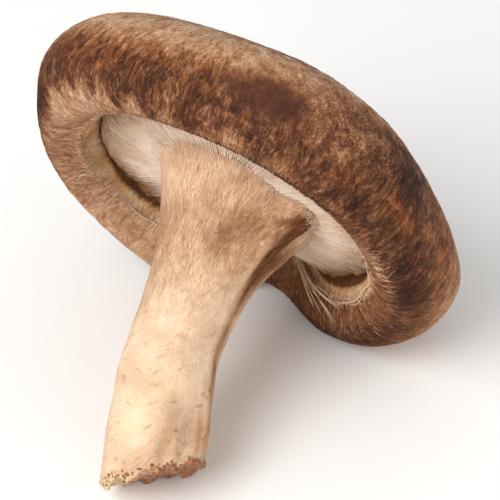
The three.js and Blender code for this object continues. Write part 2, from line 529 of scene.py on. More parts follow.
@dataclass(frozen=True)
class CapSkin(Finish):
    """Brown skin combed outwards: pale by the mouth, dark on the shoulder, golden on the dome."""

    name: str = "Cap skin"
    roughness: tuple[float, float] = (0.6, 0.85)
    scatter: float = 0.04
    depth: float = 0.00018

    def paint(self, wiring: Wiring, effects: Effects) -> Surface:
        """Combed fibres low down, grains and torn scales over the crown, folds where it is bare, darkened
        with painted shade in their creases.
        """
        lay, arc, bare = wiring.mark("lay", vector=True), wiring.mark("arc"), wiring.mark("bare")
        crown = wiring.mark("crown")
        broad = wiring.group(effects.fibres, Lay=lay, Across=1.1, Along=0.5, Wander=3.0)
        short = wiring.group(effects.fibres, Lay=lay, Across=3.0, Along=1.2, Wander=2.0)
        grain = wiring.group(effects.grains, Place=wiring.place(), Scale=2.2)
        strokes = wiring.blend(crown, short.outputs["Streak"], grain.outputs["Grain"])
        bundle, strand = broad.outputs["Streak"], short.outputs["Strand"]
        frayed = wiring.sum((wiring.mark("rise"), 1.0), (bundle, 3.4), (strokes, 1.6), offset=-2.5)
        pale = wiring.ease(frayed, -0.4, 0.7, 1.0, 0.0)
        tone = wiring.blend(pale, wiring.mark("tone"), wiring.mark("pale"))
        tone = wiring.sum((wiring.ease(arc, 0.9, 0.1), 0.14), (tone, 1.0))
        rough = wiring.sum((wiring.mark("spot"), -0.6), (bare, -0.5), (crown, -0.07), offset=0.84)
        pattern = wiring.sum((strokes, 0.4), (bundle, 0.4), (strand, 0.2), offset=-0.5)
        scales = wiring.group(effects.grains, Place=wiring.place(), Scale=0.42).outputs["Grain"]
        scaly = wiring.math("MULTIPLY", scales, wiring.ease(arc, 22.0, 32.0))
        scaly = wiring.math("MULTIPLY", scaly, wiring.ease(grain.outputs["Mottle"], 0.1, 0.8))
        drifted = wiring.vector("ADD", wiring.place(), grain.outputs["Drift"])
        folds = wiring.add("ShaderNodeTexVoronoi", drifted, feature="DISTANCE_TO_EDGE")
        wiring.feed(folds, "Scale", 0.24)
        # Painted shade in the folds' creases, which are sunk too.
        fold = wiring.math("MULTIPLY", wiring.ease(folds.outputs["Distance"], 0.12, 0.0), bare)
        tone = wiring.sum(
            (wiring.math("MULTIPLY", pattern, rough), 0.85),
            (wiring.math("MULTIPLY", grain.outputs["Mottle"], rough), 0.2),
            (fold, -0.12),
            (scaly, 0.34),
            (tone, 1.0),
            offset=-0.1,
        )
        faded = wiring.ramp(tone, ((0.3, "7E5340"), (0.55, "B38A69"), (0.8, "D4B795")))
        colour = wiring.mix(wiring.math("MULTIPLY", bare, 0.7), wiring.ramp(tone, CHESTNUT), faded)
        height = wiring.math("MULTIPLY", wiring.sum((strokes, 0.6), (strand, 0.4)), rough)
        height = wiring.sum((height, 1.0), (fold, -0.35), (scaly, 0.8))
        return Surface(self.tinted(wiring, colour), strokes, height)

    def tinted(self, wiring: Wiring, colour: Socket) -> Socket:
        """A colour made redder or more purple by the mesh's own mark.

        Args:
            wiring: The material's wiring.
            colour: The colour to tint.

        Returns:
            The tinted colour.
        """
        warmth = wiring.mark("warmth")
        red = wiring.mix(1.0, colour, linear("FFDDBE"), "MULTIPLY")
        plum = wiring.mix(1.0, colour, linear("F2E4F4"), "MULTIPLY")
        colour = wiring.mix(wiring.ease(warmth, 0.0, 1.0), colour, red)
        return wiring.mix(wiring.ease(warmth, 0.0, -1.0), colour, plum)


@dataclass(frozen=True)
class WallFlesh(Finish):
    """Brown, finely combed flesh inside the rim, with painted shade making it darkest in the hollows
    beside the gills.
    """

    name: str = "Wall flesh"
    roughness: tuple[float, float] = (0.7, 0.92)
    scatter: float = 0.1
    depth: float = 0.00018

    def paint(self, wiring: Wiring, effects: Effects) -> Surface:
        """Fine hair, painted shade in the hollows beside the gills, and a pale line along the mouth."""
        lay = wiring.mark("lay", vector=True)
        fibre = wiring.group(effects.fibres, Lay=lay, Across=2.2, Along=0.7, Wander=3.0)
        hair = wiring.sum((fibre.outputs["Streak"], 0.55), (fibre.outputs["Strand"], 0.45))
        grain = wiring.group(effects.grains, Place=wiring.place(), Scale=1.4)
        tone = wiring.sum((hair, 0.16), (grain.outputs["Mottle"], 0.34), offset=0.55)
        # Painted shade: the dark colour laid over the hollows of the wall beside the gills.
        deep = wiring.ramp(wiring.math("MULTIPLY", hair, 0.24), UMBER)
        rim = wiring.ramp(hair, ((0.1, "C79C7F"), (0.5, "E8C8AC"), (0.9, "F6E0CA")))
        pocket_shade = wiring.sum((wiring.mark("pocket_shade"), 1.0), (hair, 0.5), offset=-0.25)
        colour = wiring.mix(wiring.ease(pocket_shade, 0.25, 0.85), wiring.ramp(tone, UMBER), deep)
        colour = wiring.mix(wiring.ease(wiring.mark("arc"), -0.5, -0.1), colour, rim)
        return Surface(colour, hair, hair)


@dataclass(frozen=True)
class GillFlesh(Finish):
    """Pale pinkish cream blades with painted shade: a dark umber towards their outer ends by the wall, and
    a darker cream up between them by their roots.
    """

    name: str = "Gill flesh"
    roughness: tuple[float, float] = (0.65, 0.85)
    scatter: float = 0.2
    depth: float = 0.00006

    def paint(self, wiring: Wiring, effects: Effects) -> Surface:
        """A tone for each blade, with a soft mottle over all of them."""
        grain = wiring.group(effects.grains, Place=wiring.place(), Scale=1.2)
        tone = wiring.sum((wiring.mark("tone"), 0.35), (grain.outputs["Mottle"], 0.65))
        cream = wiring.ramp(tone, ((0.1, "D1B095"), (0.5, "E1C5AD"), (0.9, "EED8C7")))
        # Painted shade: dark umber on the blades' outer ends, and a darker cream up between them by their
        # roots.
        edge_shade = wiring.ramp(tone, ((0.1, "50301A"), (0.9, "8C613B")))
        deep = wiring.ramp(tone, ((0.1, "BF9A7A"), (0.9, "D8BA9E")))
        edge = wiring.mix(wiring.mark("outward"), cream, edge_shade)
        colour = wiring.mix(wiring.ease(wiring.mark("down"), 0.3, 0.9), deep, edge)
        return Surface(colour, grain.outputs["Mottle"], grain.outputs["Grain"])


@dataclass(frozen=True)
class StemFlesh(Finish):
    """Peach-coloured flesh: fibrous above, smooth with small cross marks below, crusted at the foot."""

    name: str = "Stem flesh"
    roughness: tuple[float, float] = (0.6, 0.85)
    scatter: float = 0.2
    depth: float = 0.0001

    def paint(self, wiring: Wiring, effects: Effects) -> Surface:
        """Fibres or cross marks over the mesh's own tone, and a ragged, speckled crust."""
        lay = wiring.mark("lay", vector=True)
        fibre = wiring.group(effects.fibres, Lay=lay, Across=2.4, Along=0.4, Wander=3.0)
        ticks = wiring.group(effects.fibres, Lay=lay, Across=0.5, Along=1.1, Wander=3.0)
        grain = wiring.group(effects.grains, Place=wiring.place(), Scale=1.5)
        speck, mottle = grain.outputs["Grain"], grain.outputs["Mottle"]
        hair = wiring.sum((fibre.outputs["Streak"], 0.5), (fibre.outputs["Strand"], 0.5), offset=-0.5)
        fuzz = wiring.mark("fuzz")
        pattern = wiring.blend(fuzz, wiring.sum((hair, 0.14), (speck, 0.1), offset=-0.05), hair)
        tick = wiring.ease(ticks.outputs["Streak"], 0.3, 0.0)
        tone = wiring.sum(
            (wiring.mark("tone"), 1.0),
            (pattern, 0.24),
            (mottle, 0.18),
            (wiring.math("MULTIPLY", tick, wiring.math("SUBTRACT", 1.0, fuzz)), -0.18),
            offset=-0.08,
        )
        crust = wiring.sum((wiring.mark("turn"), 0.54), (mottle, 0.2), (speck, 0.28))
        spots = wiring.math("MULTIPLY", wiring.ease(speck, 0.5, 0.75), 0.5)
        crust = wiring.mix(spots, wiring.ramp(crust, CRUST), linear("5A3023"))
        foot = wiring.group(effects.ragged, Patch=wiring.mark("foot"), Fringe=speck, Depth=0.55)
        colour = wiring.mix(foot.outputs["Mask"], wiring.ramp(tone, STRAW), crust)
        return Surface(colour, mottle, wiring.sum((hair, 0.8), (speck, 0.4), offset=0.4))


@dataclass(frozen=True)
class Fibres(Finish):
    """The finish of a coat of fibres, each with its own tone.

    Attributes:
        stops: The fibres' colours, from the darkest tone to the lightest.
    """

    roughness: tuple[float, float] = (0.65, 0.85)
    scatter: float = 0.0
    depth: float = 0.00003
    stops: Stops = CHESTNUT

    def paint(self, wiring: Wiring, effects: Effects) -> Surface:
        """A little lighter towards the tips, with a faint mottle."""
        grain = wiring.noise(wiring.place(), 4.0, 2.0).outputs["Fac"]
        along = wiring.mark("along")
        shade = wiring.sum((wiring.mark("tone"), 1.0), (along, 0.1), (grain, 0.2), offset=-0.15)
        return Surface(wiring.ramp(shade, self.stops), along, grain)


# ---------------------------------------------------------------------------------------------------
# Laying down
# ---------------------------------------------------------------------------------------------------


@dataclass
class LaidDown:
    """How the upright mushroom is laid down on the floor.

    Attributes:
        spin: The turn on its own axis, in degrees.
        tip: How far it is tipped over, in degrees.
        turn: The turn on the floor, in degrees.
        origin: Where the middle of the mouth comes to lie, in millimetres.
    """

    spin: float = -144.4
    tip: float = 62.9
    turn: float = 147.2
    origin: np.ndarray = field(default_factory=lambda: np.zeros(3))

    def rotation(self) -> np.ndarray:
        """The turn from the upright frame to the floor's frame, as a 3 by 3 matrix."""
        turned = (
            Matrix.Rotation(math.radians(self.turn), 3, "Z")
            @ Matrix.Rotation(math.radians(self.tip), 3, "X")
            @ Matrix.Rotation(math.radians(self.spin), 3, "Z")
        )
        return np.array(turned)

    def settle(self, points: np.ndarray, low: Vector, high: Vector) -> None:
        """Finds the origin that puts the mushroom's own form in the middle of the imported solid's box.

        Args:
            points: Points all over the upright form, in millimetres.
            low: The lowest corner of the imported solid, in metres.
            high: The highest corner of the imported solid, in metres.
        """
        tipped = points.reshape(-1, 3) @ self.rotation().T
        reach = (tipped.min(0) + tipped.max(0)) / 2
        middle = np.array((low + high) / 2) / MM
        top = high.z / MM - tipped[:, 2].max()
        self.origin = np.array([middle[0] - reach[0], middle[1] - reach[1], top])

    def place(self, points: np.ndarray) -> np.ndarray:
        """Lays upright points down and presses them flat where they meet the floor.

        Args:
            points: Points of the upright mushroom, in millimetres.

        Returns:
            The points in the row's frame, in metres.
        """
        laid = points @ self.rotation().T + self.origin
        laid[..., 2] = np.maximum(laid[..., 2], 0.0)
        return laid * MM


# ---------------------------------------------------------------------------------------------------
# Skins and fibres as meshes
# ---------------------------------------------------------------------------------------------------


class Skin:
    """A closed skin as a grid: rows run along it, columns run round it anticlockwise."""

    def __init__(self, points: np.ndarray, zero_row: int) -> None:
        """Measures the grid.

        Args:
            points: The points as rows by columns by three, in millimetres.
            zero_row: The row that distances along the skin are counted from.
        """
        self.points = points
        self.rows, self.columns = points.shape[:2]
        self.angle = np.broadcast_to(
            np.arange(self.columns) * (2 * math.pi / self.columns), (self.rows, self.columns)
        )
        steps = np.linalg.norm(np.diff(points, axis=0), axis=2)
        arc = np.vstack([np.zeros((1, self.columns)), np.cumsum(steps, axis=0)])
        self.arc = arc - arc[zero_row]
        self.normals = self._normals()

    def _normals(self) -> np.ndarray:
        """The outward unit normals of the grid."""
        along = np.gradient(self.points, axis=0)
        around = np.roll(self.points, -1, axis=1) - np.roll(self.points, 1, axis=1)
        normals = np.cross(around, along)
        normals[0] = normals[1].mean(axis=0)
        normals[-1] = normals[-2].mean(axis=0)
        return normals / np.maximum(np.linalg.norm(normals, axis=2, keepdims=True), 1e-9)

    def raised(self, height: np.ndarray) -> "Skin":
        """The skin with each point moved outwards.

        Args:
            height: How far each point moves, in millimetres, as rows by columns.

        Returns:
            The new skin, with the arcs of the old one.
        """
        height = height.copy()
        height[0] = height[0].mean()
        height[-1] = height[-1].mean()
        skin = Skin(self.points + self.normals * height[..., None], 0)
        skin.arc = self.arc
        return skin

    def sizes(self) -> tuple[np.ndarray, np.ndarray]:
        """How long a step of one row and of one column is at each point, in millimetres."""
        along = np.linalg.norm(np.gradient(self.points, axis=0), axis=2)
        around = np.linalg.norm(np.roll(self.points, -1, axis=1) - self.points, axis=2)
        return np.maximum(along, 1e-3), np.maximum(around, 1e-3)

    def sample(self, values: np.ndarray, row: np.ndarray, column: np.ndarray) -> np.ndarray:
        """Reads a grid of values between its points.

        Args:
            values: The values as rows by columns, or rows by columns by three.
            row: Where to read along the grid, in rows.
            column: Where to read round the grid, in columns.

        Returns:
            The values read.
        """
        row = np.clip(row, 0.0, self.rows - 1.001)
        low_row = row.astype(int)
        low_column = np.floor(column).astype(int)
        down, side = row - low_row, column - low_column
        left, right = low_column % self.columns, (low_column + 1) % self.columns
        if values.ndim == 3:
            down, side = down[..., None], side[..., None]
        near = values[low_row, left] * (1 - side) + values[low_row, right] * side
        far = values[low_row + 1, left] * (1 - side) + values[low_row + 1, right] * side
        return near * (1 - down) + far * down

    def locate(self, angle: float, arc: float) -> tuple[np.ndarray, np.ndarray]:
        """The row and the column of a place, as arrays of one value.

        Args:
            angle: Its direction, in degrees.
            arc: How far along the skin it is, in millimetres.

        Returns:
            The row and the column, between grid points.
        """
        column = (angle % 360.0) / 360.0 * self.columns
        row = np.interp(arc, self.arc[:, int(column)], np.arange(self.rows))
        return np.array([row]), np.array([column])

    def mesh(self, name: str, lay_down: LaidDown, marks: dict[str, np.ndarray]) -> bpy.types.Mesh:
        """Rolls a grid round into the skin and merges its seam and its poles.

        Args:
            name: The name of the mesh.
            lay_down: How the mushroom is laid down.
            marks: Values for the material at each grid point, by attribute name.

        Returns:
            The mesh in the row's frame, in metres.
        """
        bm = bmesh.new()
        bmesh.ops.create_grid(bm, x_segments=self.columns, y_segments=self.rows - 1, size=0.5)
        mesh = bpy.data.meshes.new(name)
        bm.to_mesh(mesh)
        flat = read_points(mesh)
        column = np.rint((flat[:, 0] + 0.5) * self.columns).astype(int)
        row = np.rint((flat[:, 1] + 0.5) * (self.rows - 1)).astype(int)
        turn = column % self.columns
        write_points(mesh, lay_down.place(self.points[row, turn]))
        loops = np.zeros(len(mesh.loops), np.int32)
        mesh.loops.foreach_get("vertex_index", loops)
        layer = mesh.uv_layers.new(name="Skin")
        across = column[loops] / self.columns
        along = row[loops] / (self.rows - 1)
        layer.uv.foreach_set("vector", np.stack([across, along], 1).astype(np.float32).ravel())
        for mark, values in marks.items():
            write_mark(mesh, mark, values[row, turn])
        bm.clear()
        bm.from_mesh(mesh)
        bmesh.ops.remove_doubles(bm, verts=bm.verts[:], dist=1e-8)
        bm.to_mesh(mesh)
        bm.free()
        mesh.shade_smooth()
        return mesh


def patched(patches: tuple[Patch, ...], skin: Skin) -> np.ndarray:
    """The strengths of several patches added up, at each grid point of a skin."""
    return sum(patch.share(skin.angle, skin.arc) for patch in patches)


def read_points(mesh: bpy.types.Mesh) -> np.ndarray:
    """The places of a mesh's vertices, as rows of three."""
    flat = np.zeros(len(mesh.vertices) * 3, np.float32)
    mesh.vertices.foreach_get("co", flat)
    return flat.reshape(-1, 3).astype(float)


def write_points(mesh: bpy.types.Mesh, points: np.ndarray) -> None:
    """Moves a mesh's vertices to new places, given as rows of three."""
    mesh.vertices.foreach_set("co", points.astype(np.float32).ravel())
    mesh.update()


def write_mark(mesh: bpy.types.Mesh, name: str, values: np.ndarray) -> None:
    """Writes a value or a vector for each vertex, for the material to read.

    Args:
        mesh: The mesh.
        name: The attribute's name.
        values: One number or three for each vertex.
    """
    kind, key = ("FLOAT_VECTOR", "vector") if values.ndim == 2 else ("FLOAT", "value")
    mark = mesh.attributes.new(name, kind, "POINT")
    mark.data.foreach_set(key, values.astype(np.float32).ravel())


def repeated(template: bmesh.types.BMesh, count: int) -> bpy.types.Mesh:
    """Repeats a small shape many times in one mesh, one copy's vertices after another's.

    Args:
        template: The shape, which is freed.
        count: How many copies there are.

    Returns:
        The mesh, whose copies still lie on each other.
    """
    mesh = bpy.data.meshes.new("Template")
    template.to_mesh(mesh)
    template.free()
    holder = bpy.data.objects.new("Template", mesh)
    bpy.context.scene.collection.objects.link(holder)
    copies = holder.modifiers.new("Copies", "ARRAY")
    copies.count = count
    copies.use_relative_offset = False
    evaluated = holder.evaluated_get(bpy.context.evaluated_depsgraph_get())
    made = bpy.data.meshes.new_from_object(evaluated)
    bpy.data.objects.remove(holder)
    bpy.data.meshes.remove(mesh)
    return made


def needle(sections: int) -> bmesh.types.BMesh:
    """A three-sided needle of unit radius and unit length along +Z, closed at both ends.

    Args:
        sections: How many stretches it has along its length.

    Returns:
        The needle, with a ring of vertices at the start of each stretch and a point at its tip.
    """
    bm = bmesh.new()
    bmesh.ops.create_cone(bm, cap_ends=True, segments=3, radius1=1.0, radius2=1.0, depth=1.0)
    bmesh.ops.translate(bm, verts=bm.verts[:], vec=(0.0, 0.0, 0.5))
    sides = [edge for edge in bm.edges if abs(edge.verts[0].co.z - edge.verts[1].co.z) > 0.5]
    bmesh.ops.subdivide_edges(bm, edges=sides, cuts=sections - 1)
    tip = [vert for vert in bm.verts if vert.co.z > 1.0 - 0.5 / sections]
    bmesh.ops.pointmerge(bm, verts=tip, merge_co=(0.0, 0.0, 1.0))
    bmesh.ops.recalc_face_normals(bm, faces=bm.faces[:])
    return bm


@dataclass(frozen=True)
class Coat:
    """A coat of fibres that grow from a skin.

    Attributes:
        name: The piece's name.
        count: How many fibres there are.
        length: The shortest and the longest fibre, in millimetres.
        thickness: How thick a fibre is at its middle, in millimetres.
        heading: Which way the fibres run: 0 is along the skin's rows, 180 is back, in degrees.
        scatter: How far headings stray from that, in degrees.
        curl: How far a fibre turns from root to tip, in degrees.
        lift: How far a tip stands off the skin, as a share of the length.
        sunk: How far a root is sunk in the skin, in millimetres.
        tuft: How strongly neighbours share one heading, from 0 to 1.
        contrast: How far the tone of one fibre strays from its neighbours'.
        seed: The seed of its random draws.
        sections: How many stretches a fibre has.
    """

    name: str
    count: int
    length: tuple[float, float]
    thickness: float
    heading: float
    scatter: float
    curl: float
    lift: float
    sunk: float = 0.05
    tuft: float = 0.6
    contrast: float = 0.1
    seed: int = 1
    sections: int = 3

    def grow(
        self,
        skin: Skin,
        lay_down: LaidDown,
        density: np.ndarray,
        tone: np.ndarray,
        swirl: np.ndarray | None = None,
    ) -> bpy.types.Mesh:
        """Grows the coat.

        Args:
            skin: The skin that carries it.
            lay_down: How the mushroom is laid down.
            density: How thickly the fibres stand at each grid point, from 0 to 1.
            tone: How light the fibres are at each grid point, from 0 to 1.
            swirl: What is added to the heading at each grid point, in degrees.

        Returns:
            The mesh in the row's frame, in metres, with the marks "tone" and "along".
        """
        draw = np.random.default_rng(self.seed)
        row, column = self._roots(skin, density, draw)
        shade = skin.sample(tone, row, column)
        row_size, column_size = skin.sizes()
        root = skin.sample(skin.points, row, column)
        shared = clouds(root, 2.2, self.seed) * 2.0
        own = draw.normal(size=self.count)
        stray = self.scatter * (self.tuft * shared + (1 - self.tuft) * own)
        heading = np.radians(self.heading + stray)
        if swirl is not None:
            heading = heading + np.radians(skin.sample(swirl, row, column))
        curl = np.radians(self.curl) * draw.normal(size=self.count) / self.sections
        length = draw.uniform(*self.length, size=self.count)
        lift = self.lift * length * draw.uniform(0.35, 1.0, size=self.count)
        centres, ups = [], []
        for section in range(self.sections + 1):
            share = section / self.sections
            up = skin.sample(skin.normals, row, column)
            up = up / np.maximum(np.linalg.norm(up, axis=1, keepdims=True), 1e-9)
            height = -self.sunk + (self.sunk + 0.4 * self.thickness) * min(1.0, 2.5 * share)
            centres.append(
                skin.sample(skin.points, row, column)
                + up * (height + lift * share**1.6)[:, None]
            )
            ups.append(up)
            step = length / self.sections
            row = row + np.cos(heading) * step / skin.sample(row_size, row, column)
            column = column + np.sin(heading) * step / skin.sample(column_size, row, column)
            heading = heading + curl
        shade = shade + draw.normal(scale=self.contrast, size=self.count)
        return self._mesh(np.stack(centres, 1), np.stack(ups, 1), shade, lay_down)

    def _roots(
        self, skin: Skin, density: np.ndarray, draw: np.random.Generator
    ) -> tuple[np.ndarray, np.ndarray]:
        """Draws where the roots are, by area and by density.

        Args:
            skin: The skin that carries the coat.
            density: How thickly the fibres stand at each grid point.
            draw: The random draws.

        Returns:
            The row and the column of each root, between grid points.
        """
        row_size, column_size = skin.sizes()
        weight = (density * row_size * column_size).ravel()
        chosen = draw.choice(weight.size, size=self.count, p=weight / weight.sum())
        row = chosen // skin.columns + draw.uniform(-0.5, 0.5, size=self.count)
        column = chosen % skin.columns + draw.uniform(-0.5, 0.5, size=self.count)
        return row, column

    def _mesh(
        self, centres: np.ndarray, ups: np.ndarray, shade: np.ndarray, lay_down: LaidDown
    ) -> bpy.types.Mesh:
        """Bends a needle along each fibre's line.

        Args:
            centres: The line of each fibre, as fibres by sections by three, in millimetres.
            ups: The way off the skin along each line.
            shade: How light each fibre is.
            lay_down: How the mushroom is laid down.

        Returns:
            The mesh in the row's frame, in metres.
        """
        template = needle(self.sections)
        shape = np.array([vert.co[:] for vert in template.verts])
        mesh = repeated(template, len(centres))
        section = np.rint(shape[:, 2] * self.sections).astype(int)
        tangent = np.gradient(centres, axis=1)
        side = np.cross(ups, tangent)
        side = side / np.maximum(np.linalg.norm(side, axis=2, keepdims=True), 1e-9)
        share = section / self.sections
        girth = self.thickness / 2 * (0.45 + 2.2 * share * (1 - share) + 0.1)
        girth = np.where(section == self.sections, 0.0, girth)
        points = (
            centres[:, section]
            + side[:, section] * (shape[:, 0] * girth)[None, :, None]
            + ups[:, section] * (shape[:, 1] * girth)[None, :, None]
        )
        write_points(mesh, lay_down.place(points.reshape(-1, 3)))
        write_mark(mesh, "tone", np.repeat(np.clip(shade, 0.0, 1.0), len(shape)))
        write_mark(mesh, "along", np.tile(share, len(centres)))
        mesh.shade_smooth()
        return mesh


@dataclass(frozen=True)
class Thread:
    """A loose thread of the torn veil that lies along the rim.

    Attributes:
        path: Its places: an angle in degrees, how far from the mouth, and how high off the skin.
        thickness: How thick it is in the middle, in millimetres.
        plies: How many thin threads it is frayed into.
    """

    path: tuple[tuple[float, float, float], ...]
    thickness: float
    plies: int = 1


@dataclass(frozen=True)
class Veil:
    """The shreds of the veil at the mouth.

    Attributes:
        threads: The threads.
        stray: How far a ply strays from its thread: in degrees, along the skin and off it.
        ply_width: How thick the plies beside a thread's first one are, as a share of it.
        tone: How light the threads are, from 0 to 1.
        seed: The seed of the random draws.
        steps: How many steps the curve between two places has.
    """

    threads: tuple[Thread, ...] = (
        Thread(
            (
                (318, 0.7, 0.1),
                (336, 0.2, 0.3),
                (350, -0.6, 0.5),
                (0, 0.2, 0.3),
                (12, 0.4, 0.2),
                (21, 0.8, 0.0),
            ),
            0.2,
            2,
        ),
        Thread(
            ((52, -2.6, 0.0), (45, -0.8, 0.5), (36, 0.0, 0.5), (27, 0.3, 0.4), (17, 1.2, 0.0)), 0.36, 4
        ),
        Thread(((56, -3.0, 0.0), (46, 0.0, 0.4), (38, 1.6, 0.3), (32, 3.6, 0.0)), 0.26, 3),
        Thread(((50, -1.6, 0.0), (40, 0.4, 0.5), (33, 1.6, 0.3), (28, 3.4, 0.0)), 0.22, 3),
        Thread(((40, -0.4, 0.1), (30, 0.6, 0.5), (24, 2.0, 0.3), (20, 4.2, 0.0)), 0.2, 3),
        Thread(((112, 0.0, 0.0), (104, 0.4, 0.4), (97, 0.3, 0.4), (91, 0.9, 0.0)), 0.2),
        Thread(((128, 0.2, 0.0), (133, 1.4, 0.3), (130, 2.8, 0.0)), 0.16),
    )
    stray: tuple[float, float, float] = (1.0, 0.22, 0.1)
    ply_width: float = 0.6
    tone: float = 0.9
    seed: int = 41
    steps: int = 10

    def mesh(self, skin: Skin, lay_down: LaidDown) -> bpy.types.Mesh:
        """All the threads in one mesh.

        Args:
            skin: The skin of the cap that they lie along.
            lay_down: How the mushroom is laid down.

        Returns:
            The mesh in the row's frame, in metres, with the marks "tone" and "along".
        """
        curve = bpy.data.curves.new("Veil", "CURVE")
        curve.dimensions = "3D"
        curve.bevel_depth = MM / 2
        curve.bevel_resolution = 1
        curve.resolution_u = self.steps
        curve.use_fill_caps = True
        draw = np.random.default_rng(self.seed)
        for thread in self.threads:
            for ply in range(thread.plies):
                spline = curve.splines.new("BEZIER")
                spline.bezier_points.add(len(thread.path) - 1)
                path = np.array(thread.path, float)
                path = path + draw.normal(size=path.shape) * np.array(self.stray) * min(ply, 1)
                for number, (point, (angle, arc, height)) in enumerate(zip(spline.bezier_points, path)):
                    row, column = skin.locate(angle, arc)
                    out = skin.sample(skin.normals, row, column)
                    place = skin.sample(skin.points, row, column) + height * out
                    point.co = lay_down.place(place)[0]
                    point.handle_left_type = point.handle_right_type = "AUTO"
                    share = number / (len(path) - 1)
                    taper = 0.25 + 3.0 * share * (1.0 - share)
                    point.radius = thread.thickness * taper * (1.0 if ply == 0 else self.ply_width)
        holder = bpy.data.objects.new("Veil", curve)
        mesh = bpy.data.meshes.new_from_object(holder)
        bpy.data.objects.remove(holder)
        bpy.data.curves.remove(curve)
        write_mark(mesh, "tone", np.full(len(mesh.vertices), self.tone))
        write_mark(mesh, "along", np.full(len(mesh.vertices), 0.5))
        mesh.shade_smooth()
        return mesh


def show(name: str, mesh: bpy.types.Mesh, slot: Slot, *finishes: bpy.types.Material) -> None:
    """Puts a finished mesh in the scene as a piece of the mushroom.

    Args:
        name: The piece's name.
        mesh: Its mesh, in the row's frame.
        slot: The record's slot for its finish; not used.
        finishes: Its materials, in the order of the mesh's material numbers.
    """
    piece = bpy.data.objects.new(name, mesh)
    bpy.context.scene.collection.objects.link(piece)
    mesh.name = name
    mesh.materials.clear()
    for finish in finishes:
        mesh.materials.append(finish)
    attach(piece, "root")
    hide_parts(NODE)
    triangles = sum(len(face.vertices) - 2 for face in mesh.polygons)
    log.info("%s: %d triangles", name, triangles)


# ---------------------------------------------------------------------------------------------------
# The cap
# ---------------------------------------------------------------------------------------------------


class Section(NamedTuple):
    """The corners of the cap's section in each direction, each as a radius and a height."""

    mouth: np.ndarray
    crest: np.ndarray
    shoulder: np.ndarray
    dent: np.ndarray
    wall: np.ndarray


class Stretch(Enum):
    """The stretches of the cap's section, from the ceiling round the lip to the crown, in rows."""

    CEILING = 14
    WALL = 16
    INSIDE = 20
    LIP = 68
    DOME = 104


